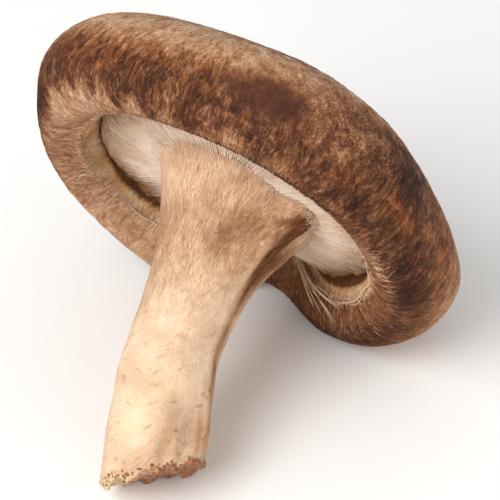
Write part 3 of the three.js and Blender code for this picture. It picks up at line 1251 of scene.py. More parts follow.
@dataclass
class Cap:
    """The cap: a dome with a rolled-in rim, a wall inside it, and the flesh above the gills.

    Attributes:
        columns: How many steps the skin has round the cap.
        girth: The radius of the widest ring.
        girth_height: The height of the widest ring.
        mouth: The radius of the mouth.
        mouth_height: The height of the mouth.
        lip_width: How much wider than the mouth the lowest ring is.
        lip_drop: How far the lowest ring is under the mouth.
        wall_height: How high the wall stands over the mouth where the gills start.
        crown_rise: How high the crown stands over the girth.
        crown_shift: How far the crown is off the middle.
        fullness: How square the dome is, outwards and upwards.
        dent_fade: How soon the fold fades out up the dome.
        fold: The fold's direction, its half widths before and after, its lift and its pinch.
        heel: The swelling's direction, half width, and how far it stands out and down.
        gill_line: The height of the gills' edges at the stem, the radius there, and how far they sag.
        bed: How far over the gills' edges the flesh lies that they grow from.
        groove: How far the gills round up beside the wall.
        groove_width: How wide the groove is that this leaves between the gills and the wall.
        undercut: How far the wall stands outside the mouth.
        lip_edge: How sharply the rim turns in at the mouth: 1 is a smooth roll, 0.5 an edge.
    """

    columns: int = 432
    girth: Outline = Outline(32.3, ((2.0, 0.5), (0.6, 1.1), (0.2, 0.4), (0.5, 1.0)))
    girth_height: Outline = Outline(5.9, ((1.5, 2.8), (-0.5, 0.2), (-0.4, 0.6)))
    mouth: Outline = Outline(23.5, ((1.3, 0.4), (-1.0, -0.3)))
    mouth_height: Outline = Outline(0.0, ((0.0, 0.0), (-0.6, 0.8)))
    lip_width: Outline = Outline(4.2, ((-0.1, 0.3),))
    lip_drop: Outline = Outline(3.0, ((0.3, 1.1), (-0.6, 1.2)))
    wall_height: Outline = Outline(3.4, ((-0.1, -1.4),))
    crown_rise: float = 13.2
    crown_shift: tuple[float, float] = (-1.7, 0.5)
    fullness: tuple[float, float] = (0.77, 0.92)
    dent_fade: float = 5.0
    fold: tuple[float, float, float, float, float] = (58.0, 21.0, 11.0, 6.2, 1.8)
    heel: tuple[float, float, float, float] = (74.0, 11.0, 0.8, 0.8)
    gill_line: tuple[float, float, float] = (2.6, 6.0, 1.3)
    bed: float = 0.6
    groove: Outline = Outline(2.8, (), ((10.0, 38.0, -1.3),))
    groove_width: Outline = Outline(
        3.0, ((-0.1, 0.9),), ((104.0, 26.0, 3.0), (165.0, 32.0, -0.9), (10.0, 38.0, -1.6))
    )
    undercut: float = 1.4
    lip_edge: float = 0.62

    def section(self, angle: np.ndarray) -> Section:
        """The corners of the section in each direction, the angles being in radians."""
        direction, before, after, lift, pinch = self.fold
        turn = turn_from(direction, angle)
        fold = np.exp(-((turn / np.where(turn > 0, after, before)) ** 2))
        direction, spread, out, down = self.heel
        heel = toward(direction, spread, angle, power=2)
        mouth = np.stack(
            [
                self.mouth.at(angle) - 0.3 * pinch * fold,
                self.mouth_height.at(angle) + lift * fold,
            ]
        )
        crest = np.stack(
            [
                mouth[0] + self.lip_width.at(angle) + 0.5 * out * heel,
                mouth[1] - self.lip_drop.at(angle) - down * heel,
            ]
        )
        shoulder = np.stack([self.girth.at(angle), self.girth_height.at(angle)])
        dent = np.stack([out * heel - pinch * fold, 0.5 * lift * fold - down * heel])
        wall = np.stack([mouth[0] - self.undercut, mouth[1] + self.wall_height.at(angle)])
        return Section(mouth, crest, shoulder, dent, wall)

    def gill_height(self, angle: np.ndarray, radius: np.ndarray) -> np.ndarray:
        """The height of the gills' edges at each radius, up into the groove beside the wall."""
        at_stem, stem_radius, sag = self.gill_line
        wall = self.section(angle).wall
        share = np.clip((wall[0] - radius) / (wall[0] - stem_radius), 0.0, 1.0)
        line = wall[1] + (at_stem - wall[1]) * share - sag * np.sin(math.pi * share)
        near = np.clip(1.0 - (wall[0] - radius) / self.groove_width.at(angle), 0.0, 1.0)
        return line + self.groove.at(angle) * (1.0 - np.sqrt(1.0 - near**2))

    def row(self, stretch: Stretch, t: float, angle: np.ndarray) -> np.ndarray:
        """One ring of the skin.

        Args:
            stretch: The stretch of the section that the ring is in.
            t: How far along the stretch it is, from 0 to 1.
            angle: The angles of its points, in radians.

        Returns:
            The points of the ring, in millimetres.
        """
        mouth, crest, shoulder, dent, wall = self.section(angle)
        bend = t * math.pi / 2
        shift = 0.0
        if stretch is Stretch.CEILING:
            radius = wall[0] * t
            height = self.gill_height(angle, radius) + self.bed
        elif stretch is Stretch.WALL:
            top = wall[1] + self.groove.at(angle) + self.bed
            radius = wall[0] + (mouth[0] - wall[0]) * t**2
            height = top + (mouth[1] - top) * t
        elif stretch is Stretch.INSIDE:
            radius = mouth[0] + (crest[0] - mouth[0]) * (1 - math.cos(bend)) ** self.lip_edge
            height = mouth[1] + (crest[1] - mouth[1]) * math.sin(bend)
        elif stretch is Stretch.LIP:
            girth = shoulder + dent
            radius = crest[0] + (girth[0] - crest[0]) * math.sin(bend)
            height = girth[1] + (crest[1] - girth[1]) * math.cos(bend)
        else:
            out = max(0.0, math.cos(bend)) ** self.fullness[0]
            up = math.sin(bend) ** self.fullness[1]
            edge = shoulder + dent * out**self.dent_fade
            radius = edge[0] * out
            height = edge[1] * out**2 + self.girth_height.mean * (1 - out**2) + self.crown_rise * up
            shift = 1.0 - out
        return np.stack(
            [
                radius * np.cos(angle) + self.crown_shift[0] * shift,
                radius * np.sin(angle) + self.crown_shift[1] * shift,
                height,
            ],
            axis=1,
        )

    def smooth_skin(self) -> Skin:
        """The skin as a grid, before any relief."""
        angle = np.arange(self.columns) * (2 * math.pi / self.columns)
        rings = [self.row(Stretch.CEILING, 0.0, angle)]
        for stretch in Stretch:
            rings += [self.row(stretch, (i + 1) / stretch.value, angle) for i in range(stretch.value)]
        return Skin(np.stack(rings), Stretch.CEILING.value + Stretch.WALL.value)


@dataclass
class CapLook:
    """What shows on the cap, worked out on the grid of its skin. A band is where something fades.

    Attributes:
        pale_edge: How far from the mouth the pale inner slope of the rim reaches.
        pale_tone: How light that slope is, from 0 to 1.
        pale_shades: Lighter patches on that slope, and darker ones with a strength under 0; the darker one
            on the lower right is painted shade.
        tongues: Where dark skin runs down over that slope, and with a strength under 0 where pale runs up.
        climb: How far past that slope the tones below are.
        climb_tones: How light the skin is at those distances, from 0 to 1.
        shades: Lighter patches, and darker ones with a strength under 0; some darker ones on the right
            flank are painted shade along the lower edge of the rim.
        spot: The smooth spot on the shoulder, which has hardly any grain.
        warmth: Reddish patches, and cooler, purplish ones with a strength under 0.
        bare: The smooth, wrinkled stretch of the rim.
        shade_pockets: Painted shade in the hollows of the wall beside the gills, where it is painted
            darkest.
        ridges: Ridges of flesh along the rim, in millimetres.
        grainy_band: How far from the mouth the skin's streaks give way to grains.
        flank: The direction and half width of the flank that is grainy low down, and how grainy it is.
        flank_band: How far from the mouth that flank turns grainy.
        wall_band: Where the wall's coat starts, beside the gills.
        rim_band: How far from the mouth the rim's coat ends.
        dome_band: How far from the mouth the dome's coat starts.
        crown_band: How far from the mouth the dome's coat thins out.
        front: The direction and half width of the stretch where a second fringe grows on the rim.
        corner: The direction and half width of the corner where long strands grow out of the mouth.
        rim_fibres: The coat on the rim.
        dome_fibres: The coat above it.
        mouth_fringe: The fringe along the mouth.
        lip_strands: The long strands that run out of the mouth.
        wall_fibres: The coat on the wall inside the rim.
    """

    pale_edge: Outline = Outline(
        4.5,
        ((-0.7, -0.5), (-0.2, 0.3)),
        ((203.0, 20.0, 4.4), (135.0, 45.0, 1.0), (100.0, 24.0, 3.4), (345.0, 55.0, -1.8)),
    )
    pale_tone: float = 0.66
    pale_shades: tuple[Patch, ...] = (
        # Painted shade on the lower right of the pale slope.
        Patch(14, 3.0, 32, 5.0, -0.22),
        Patch(112, 3.6, 26, 5.0, 0.04),
        Patch(195, 7.0, 30, 6.0, 0.07),
        Patch(250, 5.0, 20, 4.0, -0.04),
    )
    tongues: tuple[Patch, ...] = (
        Patch(219.5, 7.5, 1.9, 3.4, 4.0),
        Patch(226.0, 6.5, 2.0, 3.0, -3.0),
        Patch(231.0, 6.2, 1.6, 2.6, 2.6),
        Patch(236.0, 5.8, 2.0, 2.4, -2.0),
        Patch(211.5, 9.5, 1.5, 2.2, 2.4),
        Patch(203.5, 9.8, 1.4, 2.2, 2.0),
        Patch(196.0, 9.4, 1.4, 2.2, 1.6),
        Patch(244.0, 5.6, 2.4, 2.2, 1.8),
        Patch(256.0, 7.0, 3.4, 2.4, -2.6),
        Patch(263.5, 6.0, 2.0, 2.2, 1.6),
        Patch(271.0, 7.4, 3.0, 2.4, -2.0),
        Patch(281.0, 6.0, 2.4, 2.2, 1.2),
        Patch(289.0, 5.6, 2.4, 2.0, -1.4),
    )
    climb: tuple[float, ...] = (0.0, 1.5, 5.0, 8.0, 12.0, 18.0, 26.0, 45.0)
    climb_tones: tuple[float, ...] = (0.46, 0.38, 0.39, 0.52, 0.71, 0.76, 0.56, 0.4)
    shades: tuple[Patch, ...] = (
        # Darker skin round the left shoulder.
        Patch(226, 12.0, 9, 3.4, -0.08),
        Patch(240, 12.5, 10, 3.0, -0.06),
        Patch(204, 12.6, 6, 2.4, -0.03),
        Patch(214, 14.0, 8, 2.0, 0.05),
        Patch(176, 9.0, 16, 3.0, -0.1),
        Patch(150, 8.5, 16, 2.6, -0.1),
        # What lies round the smooth spot.
        Patch(226, 21.5, 16, 4.2, 0.08),
        Patch(207, 18.6, 9, 2.8, 0.09),
        Patch(252, 21.5, 16, 3.4, 0.05),
        Patch(281, 13.6, 8, 2.4, 0.09),
        Patch(210, 18.5, 14, 4.0, 0.06),
        # The dark right flank: the skin's own dark mahogany patches, and painted shade where the light
        # falls off along the right and lower edge of the rim.
        Patch(303, 14.6, 10, 3.0, -0.2),
        Patch(291, 8.6, 12, 3.4, -0.08),
        Patch(312, 9.4, 10, 3.0, -0.06),
        # Painted shade along the lower right edge of the rim.
        Patch(332, 7.0, 11, 3.6, -0.12),
        Patch(312, 18.5, 10, 2.6, -0.08),
        Patch(338, 17.5, 16, 4.0, -0.06),
        # Painted shade along the lower right edge of the rim.
        Patch(10, 9.0, 24, 3.4, -0.1),
        Patch(322, 17.0, 26, 8.0, -0.16),
        Patch(292, 18.6, 22, 4.6, -0.26),
        Patch(301, 11.5, 3, 1.0, 0.16),
        Patch(308.5, 10.6, 2.4, 0.9, 0.14),
        Patch(315, 9.2, 2.4, 0.9, 0.1),
        Patch(296, 12.8, 3, 1.0, 0.08),
        # Painted shade along the lower right edge of the rim.
        Patch(14, 5.0, 24, 3.4, -0.12),
        Patch(103, 6.0, 20, 5.0, 0.16),
        # The side that lies away from the front.
        Patch(45, 13.0, 14, 4.4, -0.08),
        Patch(128, 12.0, 14, 3.2, -0.08),
        Patch(88, 19.5, 18, 3.0, 0.06),
        Patch(106, 26.0, 14, 4.0, -0.14),
        Patch(20, 28.0, 16, 4.4, -0.12),
        Patch(200, 31.0, 22, 4.4, -0.12),
        Patch(150, 38.0, 34, 5.0, -0.12),
    )
    spot: Patch = Patch(259, 14.7, 12, 3.4, 1.0)
    warmth: tuple[Patch, ...] = (
        Patch(301, 11.3, 5, 1.7, 0.9),
        Patch(309, 10.5, 5, 1.7, 0.8),
        Patch(326, 16.0, 15, 4.5, 0.7),
        Patch(228, 17.5, 26, 6.5, 0.5),
        Patch(262, 21.0, 22, 4.0, 0.35),
        Patch(205, 13.5, 14, 3.5, 0.5),
        Patch(285, 10.0, 10, 3.0, 0.35),
        Patch(350, 14.0, 14, 5.0, 0.4),
        Patch(60, 22.0, 40, 8.0, 0.4),
        Patch(160, 22.0, 40, 8.0, 0.4),
        Patch(304, 15.4, 9, 2.4, -0.9),
        Patch(259, 14.7, 11, 3.4, -0.35),
        Patch(178, 9.6, 14, 3.4, -0.6),
        Patch(114, 4.0, 26, 5.0, -0.2),
        Patch(332, 7.0, 12, 3.6, -0.5),
        Patch(246, 6.4, 7, 1.6, -0.5),
    )
    bare: Patch = Patch(103, 4.2, 16, 4.4, 1.0)
    # Painted shade in the hollows of the wall beside the gills.
    shade_pockets: tuple[Patch, ...] = (
        Patch(14, -3.7, 34, 2.0, 0.5),
        Patch(26, -3.0, 16, 1.6, 0.9),
        Patch(12, -4.0, 24, 1.9, 1.0),
        Patch(103, -3.8, 20, 2.6, 1.1),
        Patch(118, -4.3, 16, 2.1, 1.0),
        Patch(134, -4.9, 24, 1.8, 0.9),
        Patch(156, -5.0, 22, 1.4, 0.8),
    )
    ridges: tuple[Patch, ...] = (
        Patch(33, 0.5, 16, 0.9, 0.45),
        Patch(5, 0.3, 12, 0.6, 0.15),
        Patch(100, 0.6, 22, 0.8, 0.25),
        Patch(150, 0.5, 20, 0.7, 0.2),
    )
    grainy_band: tuple[float, float] = (22.0, 34.0)
    flank: tuple[float, float, float] = (300.0, 48.0, 0.75)
    flank_band: tuple[float, float] = (9.0, 14.0)
    wall_band: tuple[float, float] = (-5.5, -4.0)
    rim_band: tuple[float, float] = (11.0, 15.0)
    dome_band: tuple[float, float] = (10.0, 14.0)
    crown_band: tuple[float, float] = (24.0, 32.0)
    front: tuple[float, float] = (268.0, 42.0)
    corner: tuple[float, float] = (8.0, 50.0)
    rim_fibres: Coat = Coat(
        "rim_fibres", 9000, (0.8, 2.4), 0.055, 180.0, 18.0, 30.0, 0.02, contrast=0.08, seed=21
    )
    dome_fibres: Coat = Coat(
        "dome_fibres", 10000, (0.4, 1.1), 0.06, 180.0, 26.0, 20.0, 0.03, seed=22, sections=2
    )
    mouth_fringe: Coat = Coat("mouth_fringe", 4600, (0.5, 1.5), 0.055, 180.0, 22.0, 30.0, 0.25, seed=23)
    lip_strands: Coat = Coat(
        "lip_strands", 1100, (1.5, 7.0), 0.07, 0.0, 12.0, 22.0, 0.01, tuft=0.8, seed=25
    )
    wall_fibres: Coat = Coat("wall_fibres", 1600, (0.5, 1.6), 0.035, 0.0, 20.0, 40.0, 0.0, seed=24)

    def lay(self, skin: Skin) -> np.ndarray:
        """The place of each grid point in the combed space that the fibres' pattern runs in."""
        bend = 0.05 * np.sin(5 * skin.angle) + 0.004 * skin.arc * np.sin(3 * skin.angle + 0.6)
        turned = skin.angle + bend
        return np.stack([30.0 * np.cos(turned), 30.0 * np.sin(turned), skin.arc], axis=2)

    def rise(self, skin: Skin) -> np.ndarray:
        """How far past the pale slope each grid point is, in millimetres."""
        return skin.arc - self.pale_edge.at(skin.angle) + patched(self.tongues, skin)

    def pale(self, skin: Skin) -> np.ndarray:
        """How light the pale slope is at each grid point, from 0 to 1."""
        return self.pale_tone + patched(self.pale_shades, skin)

    def pocket_shade(self, skin: Skin) -> np.ndarray:
        """How far into the painted shade of the wall's hollows each grid point is, from 0 to 1."""
        return np.clip(patched(self.shade_pockets, skin), 0.0, 1.0)

    def grainy(self, skin: Skin) -> np.ndarray:
        """Where the skin is grainy rather than streaked, from 0 to 1."""
        direction, spread, strength = self.flank
        flank = strength * toward(direction, spread, skin.angle) * smoothstep(skin.arc, *self.flank_band)
        return np.maximum(smoothstep(skin.arc, *self.grainy_band), flank)

    def relief(self, skin: Skin) -> np.ndarray:
        """How high the skin's lumps, tufts and grains stand, in millimetres."""
        lay = self.lay(skin) * np.array([1.0, 1.0, 0.4])
        lumps = 0.2 * clouds(skin.points, 8.0, 3.1)
        tufts = 0.07 * clouds(lay, 0.7, 7.7) + 0.08 * clouds(lay, 2.2, 2.3)
        crown = self.grainy(skin)
        grains = 0.1 * clouds(skin.points, 1.6, 1.7)
        smooth = 1.0 - 0.7 * self.spot.share(skin.angle, skin.arc)
        outside = smoothstep(skin.arc, 0.2, 1.5)
        pattern = (1 - crown) * tufts + crown * grains
        return patched(self.ridges, skin) + outside * (lumps + smooth * pattern)

    def tone(self, skin: Skin) -> np.ndarray:
        """How light the skin is past the pale slope, from 0 to 1, before its fine pattern."""
        tone = np.interp(self.rise(skin), self.climb, self.climb_tones)
        tone = tone + patched(self.shades, skin) - 0.2 * self.spot.share(skin.angle, skin.arc)
        tone = tone + 0.05 * clouds(skin.points, 5.0, 4.4) + 0.05 * clouds(skin.points, 2.4, 9.4)
        return np.clip(tone, 0.08, 0.9)

    def fibre_tone(self, skin: Skin) -> np.ndarray:
        """How light the fibres are that grow from each grid point, from 0 to 1."""
        lay = self.lay(skin) * np.array([1.0, 1.0, 0.3])
        ragged = self.rise(skin) + 1.6 * clouds(lay, 1.1, 3.3) + 1.0 * clouds(lay, 0.6, 5.3)
        pale = 1.0 - smoothstep(ragged, -0.5, 0.6)
        tone = self.tone(skin)
        return tone + (self.pale(skin) - tone) * pale

    def marks(self, skin: Skin) -> dict[str, np.ndarray]:
        """What the skin's material reads at each grid point."""
        return {
            "lay": self.lay(skin),
            "arc": skin.arc,
            "rise": self.rise(skin),
            "crown": self.grainy(skin),
            "bare": self.bare.share(skin.angle, skin.arc),
            "pocket_shade": self.pocket_shade(skin),
            "tone": self.tone(skin),
            "pale": self.pale(skin),
            "spot": self.spot.share(skin.angle, skin.arc),
            "warmth": patched(self.warmth, skin),
        }

    def swirl(self, skin: Skin) -> np.ndarray:
        """How far the fibres' heading turns at each grid point, in degrees."""
        return 10.0 * np.sin(2 * skin.angle + 0.8) + 6.0 * np.sin(5 * skin.angle + skin.arc * 0.2)

    def coats(self, skin: Skin) -> tuple[tuple[Coat, np.ndarray, np.ndarray], ...]:
        """The coats outside the mouth, each with its density and its tone at each grid point."""
        angle, arc, tone = skin.angle, skin.arc, self.fibre_tone(skin)
        sparse = 1.0 - 0.8 * self.spot.share(angle, arc)
        sparse = sparse * (1.0 - 0.75 * self.bare.share(angle, arc))
        grainy = 1.0 - 0.7 * self.grainy(skin)
        rim = smoothstep(arc, 0.2, 0.6) * (1.0 - smoothstep(arc, *self.rim_band)) * sparse * grainy
        crown = 1.0 - 0.92 * smoothstep(arc, *self.crown_band)
        dome = smoothstep(arc, *self.dome_band) * crown * sparse * grainy
        front = toward(*self.front, angle)
        mouth = 0.5 * bell(arc, 0.2, 0.8) + 2.0 * front * bell(arc, 4.4, 1.0)
        corner = toward(*self.corner, angle) * bell(arc, 1.0, 1.2)
        return (
            (self.rim_fibres, rim, tone - 0.02),
            (self.dome_fibres, dome, tone + 0.02),
            (self.mouth_fringe, mouth, 0.88 - 0.54 * front * smoothstep(arc, 1.0, 3.0)),
            (self.lip_strands, corner, np.full_like(tone, 0.5)),
        )

    def build(self, form: Skin, veil: Veil, lay_down: LaidDown, effects: Effects) -> None:
        """Builds the cap's skin, its coats of fibres and the veil.

        Args:
            form: The cap's skin, before any relief.
            veil: The shreds of the veil.
            lay_down: How the mushroom is laid down.
            effects: The node groups that the finishes share.
        """
        skin = form.raised(self.relief(form))
        mesh = skin.mesh("cap", lay_down, self.marks(form))
        show("cap", mesh, Slot.CAP, CapSkin().material(effects), WallFlesh().material(effects))
        arcs = np.zeros(len(mesh.vertices), np.float32)
        mesh.attributes["arc"].data.foreach_get("value", arcs)
        inside = [all(arcs[v] < MOUTH_EDGE for v in face.vertices) for face in mesh.polygons]
        mesh.polygons.foreach_set("material_index", np.array(inside, np.int32))
        finish = Fibres("Cap fibres", stops=CHESTNUT).material(effects)
        swirl = self.swirl(form)
        for coat, density, tone in self.coats(form):
            show(coat.name, coat.grow(skin, lay_down, density, tone, swirl), Slot.CAP, finish)
        wall = smoothstep(form.arc, *self.wall_band) * (form.arc < -0.5)
        # The wall's fibres are darker where the painted shade of the hollows lies.
        mesh = self.wall_fibres.grow(skin, lay_down, wall, 0.8 - 0.6 * self.pocket_shade(form), swirl)
        show("wall_fibres", mesh, Slot.CAP, Fibres("Wall fibres", stops=UMBER).material(effects))
        show("veil", veil.mesh(skin, lay_down), Slot.CAP, finish)


# ---------------------------------------------------------------------------------------------------
# The gills
# ---------------------------------------------------------------------------------------------------


@dataclass
class Gills:
    """Thin blades that hang from the flesh of the cap round the stem.

    Attributes:
        count: How many blades there are.
        thickness: How thick a blade is at its root and at its edge, in millimetres.
        root: How far a blade is sunk in the flesh.
        inner: How near the stem's middle the blades of each rank reach, for ranks in turn.
        full: The radius where the longest blades end, in the stem's flesh.
        foot: How long the rounded inner end of a blade is, where it doesn't reach the stem.
        jitter: How far a blade strays from its even place, as a share of the step between two.
        sway: How far a blade's edge waves sideways.
        ragged: How uneven the edges are.
        fray: How uneven the blades' outer ends are.
        tufts: How high the tufts of outer ends stand, and the two counts whose beat makes them.
        edge_shade: How far past the groove beside the wall the blades' outer ends carry painted shade.
        shaded: The direction and half width of the stretch where that painted shade is strongest.
        steps: How many stretches a blade has, along it and down it.
        seed: The seed of the random draws.
    """

    count: int = 900
    thickness: tuple[float, float] = (0.13, 0.1)
    root: float = 0.3
    inner: tuple[float, ...] = (9.0, 13.0, 10.5, 15.0)
    full: float = 9.0
    foot: float = 2.4
    jitter: float = 0.07
    sway: float = 0.03
    ragged: float = 0.05
    fray: float = 0.3
    tufts: tuple[float, int, int] = (1.2, 47, 31)
    edge_shade: float = 5.5
    shaded: tuple[float, float] = (70.0, 92.0)
    steps: tuple[int, int] = (12, 1)
    seed: int = 11

    def blade(self) -> bmesh.types.BMesh:
        """A closed blade in a unit box: +X from root end to outer end, +Y its thickness, +Z up."""
        bm = bmesh.new()
        bmesh.ops.create_cube(bm, size=1.0)
        bmesh.ops.translate(bm, verts=bm.verts[:], vec=(0.5, 0.0, 0.5))
        for axis, cuts in ((0, self.steps[0] - 1), (2, self.steps[1] - 1)):
            edges = [e for e in bm.edges if abs(e.verts[0].co[axis] - e.verts[1].co[axis]) > 0.5]
            bmesh.ops.subdivide_edges(bm, edges=edges, cuts=cuts, use_grid_fill=True)
        return bm

    def mesh(self, cap: Cap, lay_down: LaidDown) -> bpy.types.Mesh:
        """All the blades in one mesh.

        Args:
            cap: The cap that carries them.
            lay_down: How the mushroom is laid down.

        Returns:
            The mesh in the row's frame, in metres, with the marks "down", "tone" and "outward".
        """
        draw = np.random.default_rng(self.seed)
        template = self.blade()
        shape = np.array([vert.co[:] for vert in template.verts])
        mesh = repeated(template, self.count)
        number = np.repeat(np.arange(self.count), len(shape))
        along, side, up = np.tile(shape, (self.count, 1)).T
        jitter = draw.normal(scale=self.jitter, size=self.count)
        angle = ((np.arange(self.count) + jitter) * (2 * math.pi / self.count))[number]
        inner = np.array(self.inner)[number % len(self.inner)]
        inner = inner + draw.uniform(-1.2, 0.8, size=self.count)[number] * (inner > self.full)
        outer = cap.section(angle).wall[0] + 0.1
        radius = inner + (outer - inner) * (1.0 - (1.0 - along) ** 1.5)
        groove = cap.groove_width.at(angle)
        outward = 1.0 - smoothstep((outer - radius - 0.75 * groove) / self.edge_shade, 0.0, 1.0)
        tall, many, fewer = self.tufts
        tufts = tall * np.sin(many * angle) * np.sin(fewer * angle + 1.0)
        frayed = self.fray * outward * (draw.normal(size=self.count)[number] + tufts)
        line = cap.gill_height(angle, np.minimum(radius + frayed, outer))
        uneven = draw.normal(scale=self.ragged, size=self.count)[number]
        uneven = uneven + 0.5 * self.ragged * np.sin(radius * 3.1 + number * 2.4)
        uneven = uneven * (1.0 + 5.0 * outward)
        near_stem = np.clip(1.0 - (radius - inner) / self.foot, 0.0, 1.0) * (inner > self.full)
        rounded = (cap.bed - 0.1) * (1.0 - np.sqrt(1.0 - near_stem**2))
        edge = np.minimum(line + uneven + rounded, line + cap.bed - 0.1)
        height = edge + (line + cap.bed + self.root - edge) * up
        thin = self.thickness[1] + (self.thickness[0] - self.thickness[1]) * up
        sway = side * thin + self.sway * (1.0 - up) * np.sin(radius * 0.9 + 2.1 * number)
        points = np.stack(
            [
                radius * np.cos(angle) - sway * np.sin(angle),
                radius * np.sin(angle) + sway * np.cos(angle),
                height,
            ],
            axis=1,
        )
        write_points(mesh, lay_down.place(points))
        write_mark(mesh, "down", 1.0 - up)
        write_mark(mesh, "tone", draw.uniform(0.0, 1.0, size=self.count)[number])
        shaded = toward(*self.shaded, angle, power=6)
        # The painted shade of the outer ends, strongest on the far side.
        write_mark(mesh, "outward", outward * (0.2 + 0.8 * shaded))
        return mesh

    def build(self, cap: Cap, lay_down: LaidDown, effects: Effects) -> None:
        """Builds and dresses the gills.

        Args:
            cap: The cap that carries them.
            lay_down: How the mushroom is laid down.
            effects: The node groups that the finishes share.
        """
        show("gills", self.mesh(cap, lay_down), Slot.GILL, GillFlesh().material(effects))


# ---------------------------------------------------------------------------------------------------
# The stem
# ---------------------------------------------------------------------------------------------------


@dataclass
class Stem:
    """The stem: flared into the gills, bent, and cut off ragged at the foot.

    Attributes:
        spine: The line that it follows, from inside the cap down to the foot.
        radii: Its radius at shares of its length, before the flare.
        flare: How far it flares out into the gills, in each direction.
        flare_fade: The share of its length where the flare fades out, and how squarely it does.
        foot_cut: The direction in which the foot's cut climbs, in degrees, and its slope.
        frill: How high and how far out the foot's ragged edge stands.
        fold: The direction, half width and depth of a crease down the lower half.
        columns: How many steps its skin has round it.
        foot_rows: How many rings cross the foot.
        side_rows: How many rings its side has.
        top_rows: How many rings close it inside the cap.
        row_ease: How much closer the side's rings are near the foot.
        heights: How far from the foot the tones below are, in millimetres.
        tones: How light the stem is at those distances, from 0 to 1.
        shades: Lighter patches, and darker ones with a strength under 0; the darker ones on the right
            flank, its crease and its folds are painted shade.
        swells: Swellings, and creases with a strength under 0, in millimetres.
        fuzzy_band: How far from the foot the smooth flesh turns fibrous.
        crust_middle: The direction in which the foot's crust is halfway from its pale end to its dark one.
        crust_fade: How far in from the edge of the foot the crust turns even, in millimetres.
        fibres: The coat on the flare and below it.
        fringe: The fringe where the flare meets the gills.
    """

    spine: tuple[tuple[float, float, float], ...] = (
        (2.4, 0.8, 9.0),
        (2.4, 0.8, 3.0),
        (2.9, 0.7, -7.0),
        (4.0, 0.6, -16.0),
        (5.6, 0.4, -24.0),
        (8.2, 0.1, -31.0),
        (10.9, -0.3, -37.9),
    )
    radii: tuple[tuple[float, float], ...] = (
        (0.0, 6.7),
        (0.48, 6.6),
        (0.6, 6.4),
        (0.72, 6.7),
        (0.86, 6.9),
        (0.95, 6.8),
        (1.0, 6.5),
    )
    flare: Outline = Outline(8.0, (), ((200.0, 30.0, 2.4), (301.0, 16.0, 4.4), (20.0, 24.0, -3.0)))
    flare_fade: tuple[float, float] = (0.26, 2.4)
    foot_cut: tuple[float, float] = (8.0, 0.36)
    frill: tuple[float, float] = (0.35, 0.045)
    fold: tuple[float, float, float] = (-52.0, 12.0, 0.45)
    columns: int = 200
    foot_rows: int = 24
    side_rows: int = 230
    top_rows: int = 3
    row_ease: float = 0.8
    heights: tuple[float, ...] = (0.0, 5.0, 12.0, 24.0, 30.0, 38.0, 46.0)
    tones: tuple[float, ...] = (0.62, 0.68, 0.73, 0.74, 0.55, 0.41, 0.54)
    shades: tuple[Patch, ...] = (
        Patch(272, 34.0, 22, 4.0, -0.16),
        Patch(292, 29.0, 14, 4.0, -0.12),
        Patch(262, 32.0, 10, 3.0, -0.08),
        Patch(196, 32.0, 12, 5.0, -0.06),
        Patch(220, 41.0, 40, 3.0, 0.08),
        Patch(196, 44.0, 40, 5.0, 0.06),
        # The flank under the shelf, darkened with painted shade; the crease that bounds it, a darker line
        # of painted shade; and the paler bulge beside it.
        Patch(309, 33.5, 13, 4.4, -0.46, slant=-0.5),
        Patch(300.6, 32.6, 9, 0.9, -0.22, slant=-0.58),
        Patch(300.6, 38.3, 9, 0.7, -0.2, slant=0.12),
        Patch(346, 40.0, 24, 5.0, 0.2),
        Patch(333, 37.2, 13, 3.2, 0.26),
        # Painted shade down the right side of the stem, with darker lines of it in the crease and the fold
        # there.
        Patch(329, 28.5, 15, 5.4, -0.4),
        Patch(320, 20.0, 9, 8.0, -0.32),
        Patch(325, 9.0, 9, 7.0, -0.16),
        Patch(335, 8.0, 22, 14.0, -0.2),
        Patch(311, 30.0, 4, 8.0, -0.24),
        Patch(275, 3.0, 26, 6.0, -0.12),
        Patch(268, 7.0, 7, 5.0, -0.08),
        # A thin line of painted shade along a fold near the foot.
        Patch(307, 6.0, 4, 5.5, -0.2),
        Patch(172, 22.0, 14, 16.0, -0.12),
        Patch(90, 24.0, 60, 20.0, -0.1),
    )
    swells: tuple[Patch, ...] = (
        Patch(301, 35.5, 8, 4.5, 0.7),
        Patch(306, 33.0, 6, 3.0, -0.5, slant=-0.5),
        Patch(240, 12.0, 30, 6.0, 0.2),
    )
    fuzzy_band: tuple[float, float] = (17.0, 32.0)
    crust_middle: float = 255.0
    crust_fade: float = 6.0
    fibres: Coat = Coat(
        "stem_fibres", 9800, (0.8, 2.6), 0.034, 0.0, 18.0, 30.0, 0.03, contrast=0.06, seed=31
    )
    fringe: Coat = Coat("flare_fringe", 2600, (0.4, 1.3), 0.05, 0.0, 20.0, 26.0, 0.3, seed=32)

    def line(self, share: float) -> tuple[np.ndarray, np.ndarray]:
        """The point and the unit tangent at a share of the spine.

        Args:
            share: The share of the spine, from 0 in the cap to 1 at the foot.

        Returns:
            The point and the tangent, in millimetres, as on a centripetal Catmull-Rom curve.
        """
        points = np.array(self.spine)
        ends = [2 * points[0] - points[1], *points, 2 * points[-1] - points[-2]]
        at = min(share * (len(points) - 1), len(points) - 1 - 1e-9)
        number, t = int(at), at - int(at)
        p0, p1, p2, p3 = ends[number : number + 4]
        d0, d1, d2 = (np.sqrt(np.linalg.norm(b - a)) for a, b in ((p0, p1), (p1, p2), (p2, p3)))
        out = ((p1 - p0) / d0 - (p2 - p0) / (d0 + d1) + (p2 - p1) / d1) * d1
        back = ((p2 - p1) / d1 - (p3 - p1) / (d1 + d2) + (p3 - p2) / d2) * d1
        square = -3 * p1 + 3 * p2 - 2 * out - back
        cube = 2 * p1 - 2 * p2 + out + back
        tangent = out + 2 * square * t + 3 * cube * t * t
        return p1 + out * t + square * t * t + cube * t**3, tangent / np.linalg.norm(tangent)

